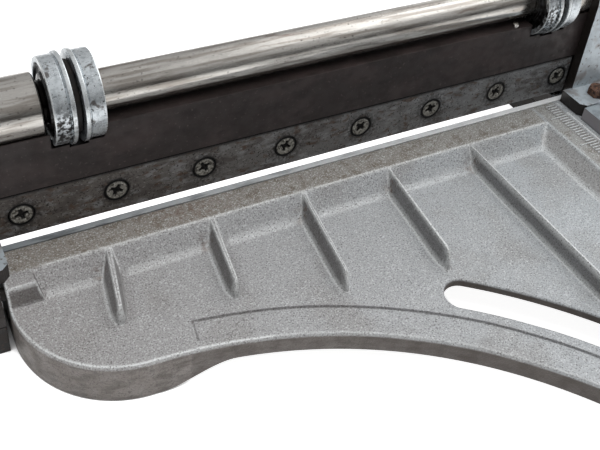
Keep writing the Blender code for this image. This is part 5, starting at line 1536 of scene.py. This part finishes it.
@dataclass
class Studio:
    """The pale floor, the soft light and the camera at the photograph's angle."""

    width: int = 600
    height: int = 450
    focal: float = 903.972692
    centre_px: tuple[float, float] = (286.506, 132.158)
    turn: tuple[float, float, float] = (2.19551832, -0.480442927, 0.328563424)
    eye: tuple[float, float, float] = (-196.032, -301.275, 301.786)
    floor_z: float = -34.5
    floor_gap: float = 0.05
    floor_half: float = 6.0
    target: tuple[float, float, float] = (0.0, -0.1, 0.0)

    def build_camera(self) -> None:
        """Place the camera by its turn, eye, focal length and the middle of its picture."""
        turn = Vector(self.turn)
        rows = Matrix.Rotation(turn.length, 3, turn.normalized())
        made = bpy.data.cameras.new("photo_camera")
        made.sensor_width = 36.0
        made.lens = self.focal / self.width * made.sensor_width
        made.shift_x = (self.width / 2 - self.centre_px[0]) / self.width
        made.shift_y = -(self.height / 2 - self.centre_px[1]) / self.width
        made.clip_start = 0.01
        camera = add_object("photo_camera", made)
        facing = Matrix((rows[0], -rows[1], -rows[2])).transposed().to_4x4()
        camera.matrix_world = Matrix.Translation(Vector(self.eye) * MM) @ facing
        bpy.context.scene.camera = camera

    def build_world(self) -> None:
        """White to the eye and a soft light from above; metal mirrors a dim room with two windows."""
        world = bpy.data.worlds.new("soft_studio")
        bpy.context.scene.world = world
        world.use_nodes = True
        tree = world.node_tree
        shader = tree.nodes["Background"]
        shader.inputs["Color"].default_value = (1.0, 1.0, 1.0, 1.0)
        place = add_node(tree, "TexCoord").outputs["Generated"]
        x, y, z = add_node(tree, "SeparateXYZ", links={0: place}).outputs
        right = add_node(tree, "MapRange", None, limits(-1.0, 1.0, 0.06, 0.62), {0: x})
        up = add_node(tree, "MapRange", None, limits(-0.2, 1.0, 0.45, 1.2), {0: z})
        lit = add_node(tree, "Math", TIMES, links={0: right, 1: up})
        turn = add_node(tree, "Math", {"operation": "ARCTAN2"}, links={0: z, 1: y})
        room = add_node(tree, "MapRange", None, limits(0.0, 1.1, 0.36, 0.56), {0: turn})
        viewer = add_node(tree, "MapRange", SMOOTH, limits(2.35, 3.08, 1.0, 0.12), {0: turn})
        dim = add_node(tree, "Math", TIMES, links={0: room, 1: viewer})
        aside = add_node(tree, "MapRange", SMOOTH, limits(0.31, 0.49), {0: x})
        from_middle = add_node(tree, "Math", {"operation": "SUBTRACT"}, {1: 1.45}, {0: turn})
        from_middle = add_node(tree, "Math", {"operation": "ABSOLUTE"}, links={0: from_middle})
        tall = add_node(tree, "MapRange", SMOOTH, limits(0.35, 0.85, 1.0, 0.0), {0: from_middle})
        window = add_node(tree, "Math", TIMES, links={0: aside, 1: tall})
        window = add_node(tree, "Math", TIMES, {1: 1.6}, {0: window})
        far = add_node(tree, "MapRange", SMOOTH, limits(0.42, 0.70), {0: x})
        behind = add_node(tree, "MapRange", SMOOTH, limits(1.3, 0.9), {0: turn})
        second = add_node(tree, "Math", TIMES, links={0: far, 1: behind})
        panes = add_node(tree, "Math", PLUS, links={0: window, 1: second})
        mirrored = add_node(tree, "Math", PLUS, links={0: dim, 1: panes})
        path = add_node(tree, "LightPath").outputs
        number = {"data_type": "FLOAT"}
        power = add_node(tree, "Mix", number, links={0: path["Is Glossy Ray"], 2: lit, 3: mirrored})
        straight, through = path["Is Camera Ray"], path["Is Transmission Ray"]
        clear = add_node(tree, "Math", LARGER, links={0: straight, 1: through})
        power = add_node(tree, "Mix", number, {3: 1.0}, {0: clear, 2: power})
        tree.links.new(power.outputs[0], shader.inputs["Strength"])

    def build_floor(self) -> None:
        """The floor: white to the camera, with painted shade where the object is close to it."""
        finish = bpy.data.materials.new("pale_floor")
        finish.use_nodes = True
        tree = finish.node_tree
        shader = tree.nodes["Principled BSDF"]
        shader.inputs["Base Color"].default_value = linear("#F2F2F2")
        shader.inputs["Roughness"].default_value = 0.9
        shader.inputs["Emission Color"].default_value = (1.0, 1.0, 1.0, 1.0)
        # Painted shade: the glow fades where the object comes within 14 mm of the floor.
        gap = add_node(tree, "AmbientOcclusion", values={"Distance": 0.014}).outputs["AO"]
        unshaded_share = add_node(tree, "MapRange", None, limits(0.28, 0.45), {0: gap})
        place = add_node(tree, "TexCoord").outputs["Object"]
        y = add_node(tree, "SeparateXYZ", links={0: place}).outputs["Y"]
        near = add_node(tree, "MapRange", SMOOTH, limits(-0.42, -0.33, 0.06, 0.5), {0: y})
        path = add_node(tree, "LightPath").outputs
        straight, through = path["Is Camera Ray"], path["Is Transmission Ray"]
        clear = add_node(tree, "Math", LARGER, links={0: straight, 1: through})
        metal = add_node(tree, "Math", TIMES, links={0: path["Is Glossy Ray"], 1: near})
        seen = add_node(tree, "Math", LARGER, links={0: clear, 1: metal})
        glow = add_node(tree, "Math", TIMES, {1: 0.92}, {0: seen})
        glow = add_node(tree, "Math", TIMES, links={0: glow, 1: unshaded_share})
        tree.links.new(glow.outputs[0], shader.inputs["Emission Strength"])
        mesh = bpy.data.meshes.new("floor")
        corners = np.array([(-1, -1), (1, -1), (1, 1), (-1, 1)], float) * self.floor_half
        mesh.from_pydata(stacked(*corners.T, (self.floor_z - self.floor_gap) * MM), [], [(0, 1, 2, 3)])
        mesh.materials.append(finish)
        floor = add_object("floor", mesh)

    def build_lamp(self, name: str, place: Sequence[float], size: float, power: float) -> None:
        """A square soft lamp that looks at the table and isn't mirrored by it, placed in metres."""
        lamp = bpy.data.lights.new(name, "AREA")
        lamp.shape = "SQUARE"
        lamp.size = size
        lamp.energy = power
        made = add_object(name, lamp)
        made.visible_glossy = False
        aim = (Vector(self.target) - Vector(place)).to_track_quat("-Z", "Y")
        made.matrix_world = Matrix.Translation(Vector(place)) @ aim.to_matrix().to_4x4()

    def build(self) -> None:
        """Set up the camera, world, floor and lamps."""
        self.build_camera()
        self.build_world()
        self.build_floor()
        self.build_lamp("key_lamp", (-0.1, -0.35, 1.6), 0.9, 15.0)
        self.build_lamp("right_lamp", (0.5, 0.1, 1.2), 0.7, 4.0)
        bpy.context.scene.view_settings.view_transform = "Standard"


def main() -> None:
    """Build the studio and every part."""
    logging.basicConfig(level=logging.INFO, format="%(name)s: %(message)s")
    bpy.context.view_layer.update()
    Studio().build()
    TableCasting().build()
    CuttingBeam().build()
    Crank().build()
    EndFrames().build()
    FixedParts().build()
    Handle().build()


if __name__ == "__main__":
    main()
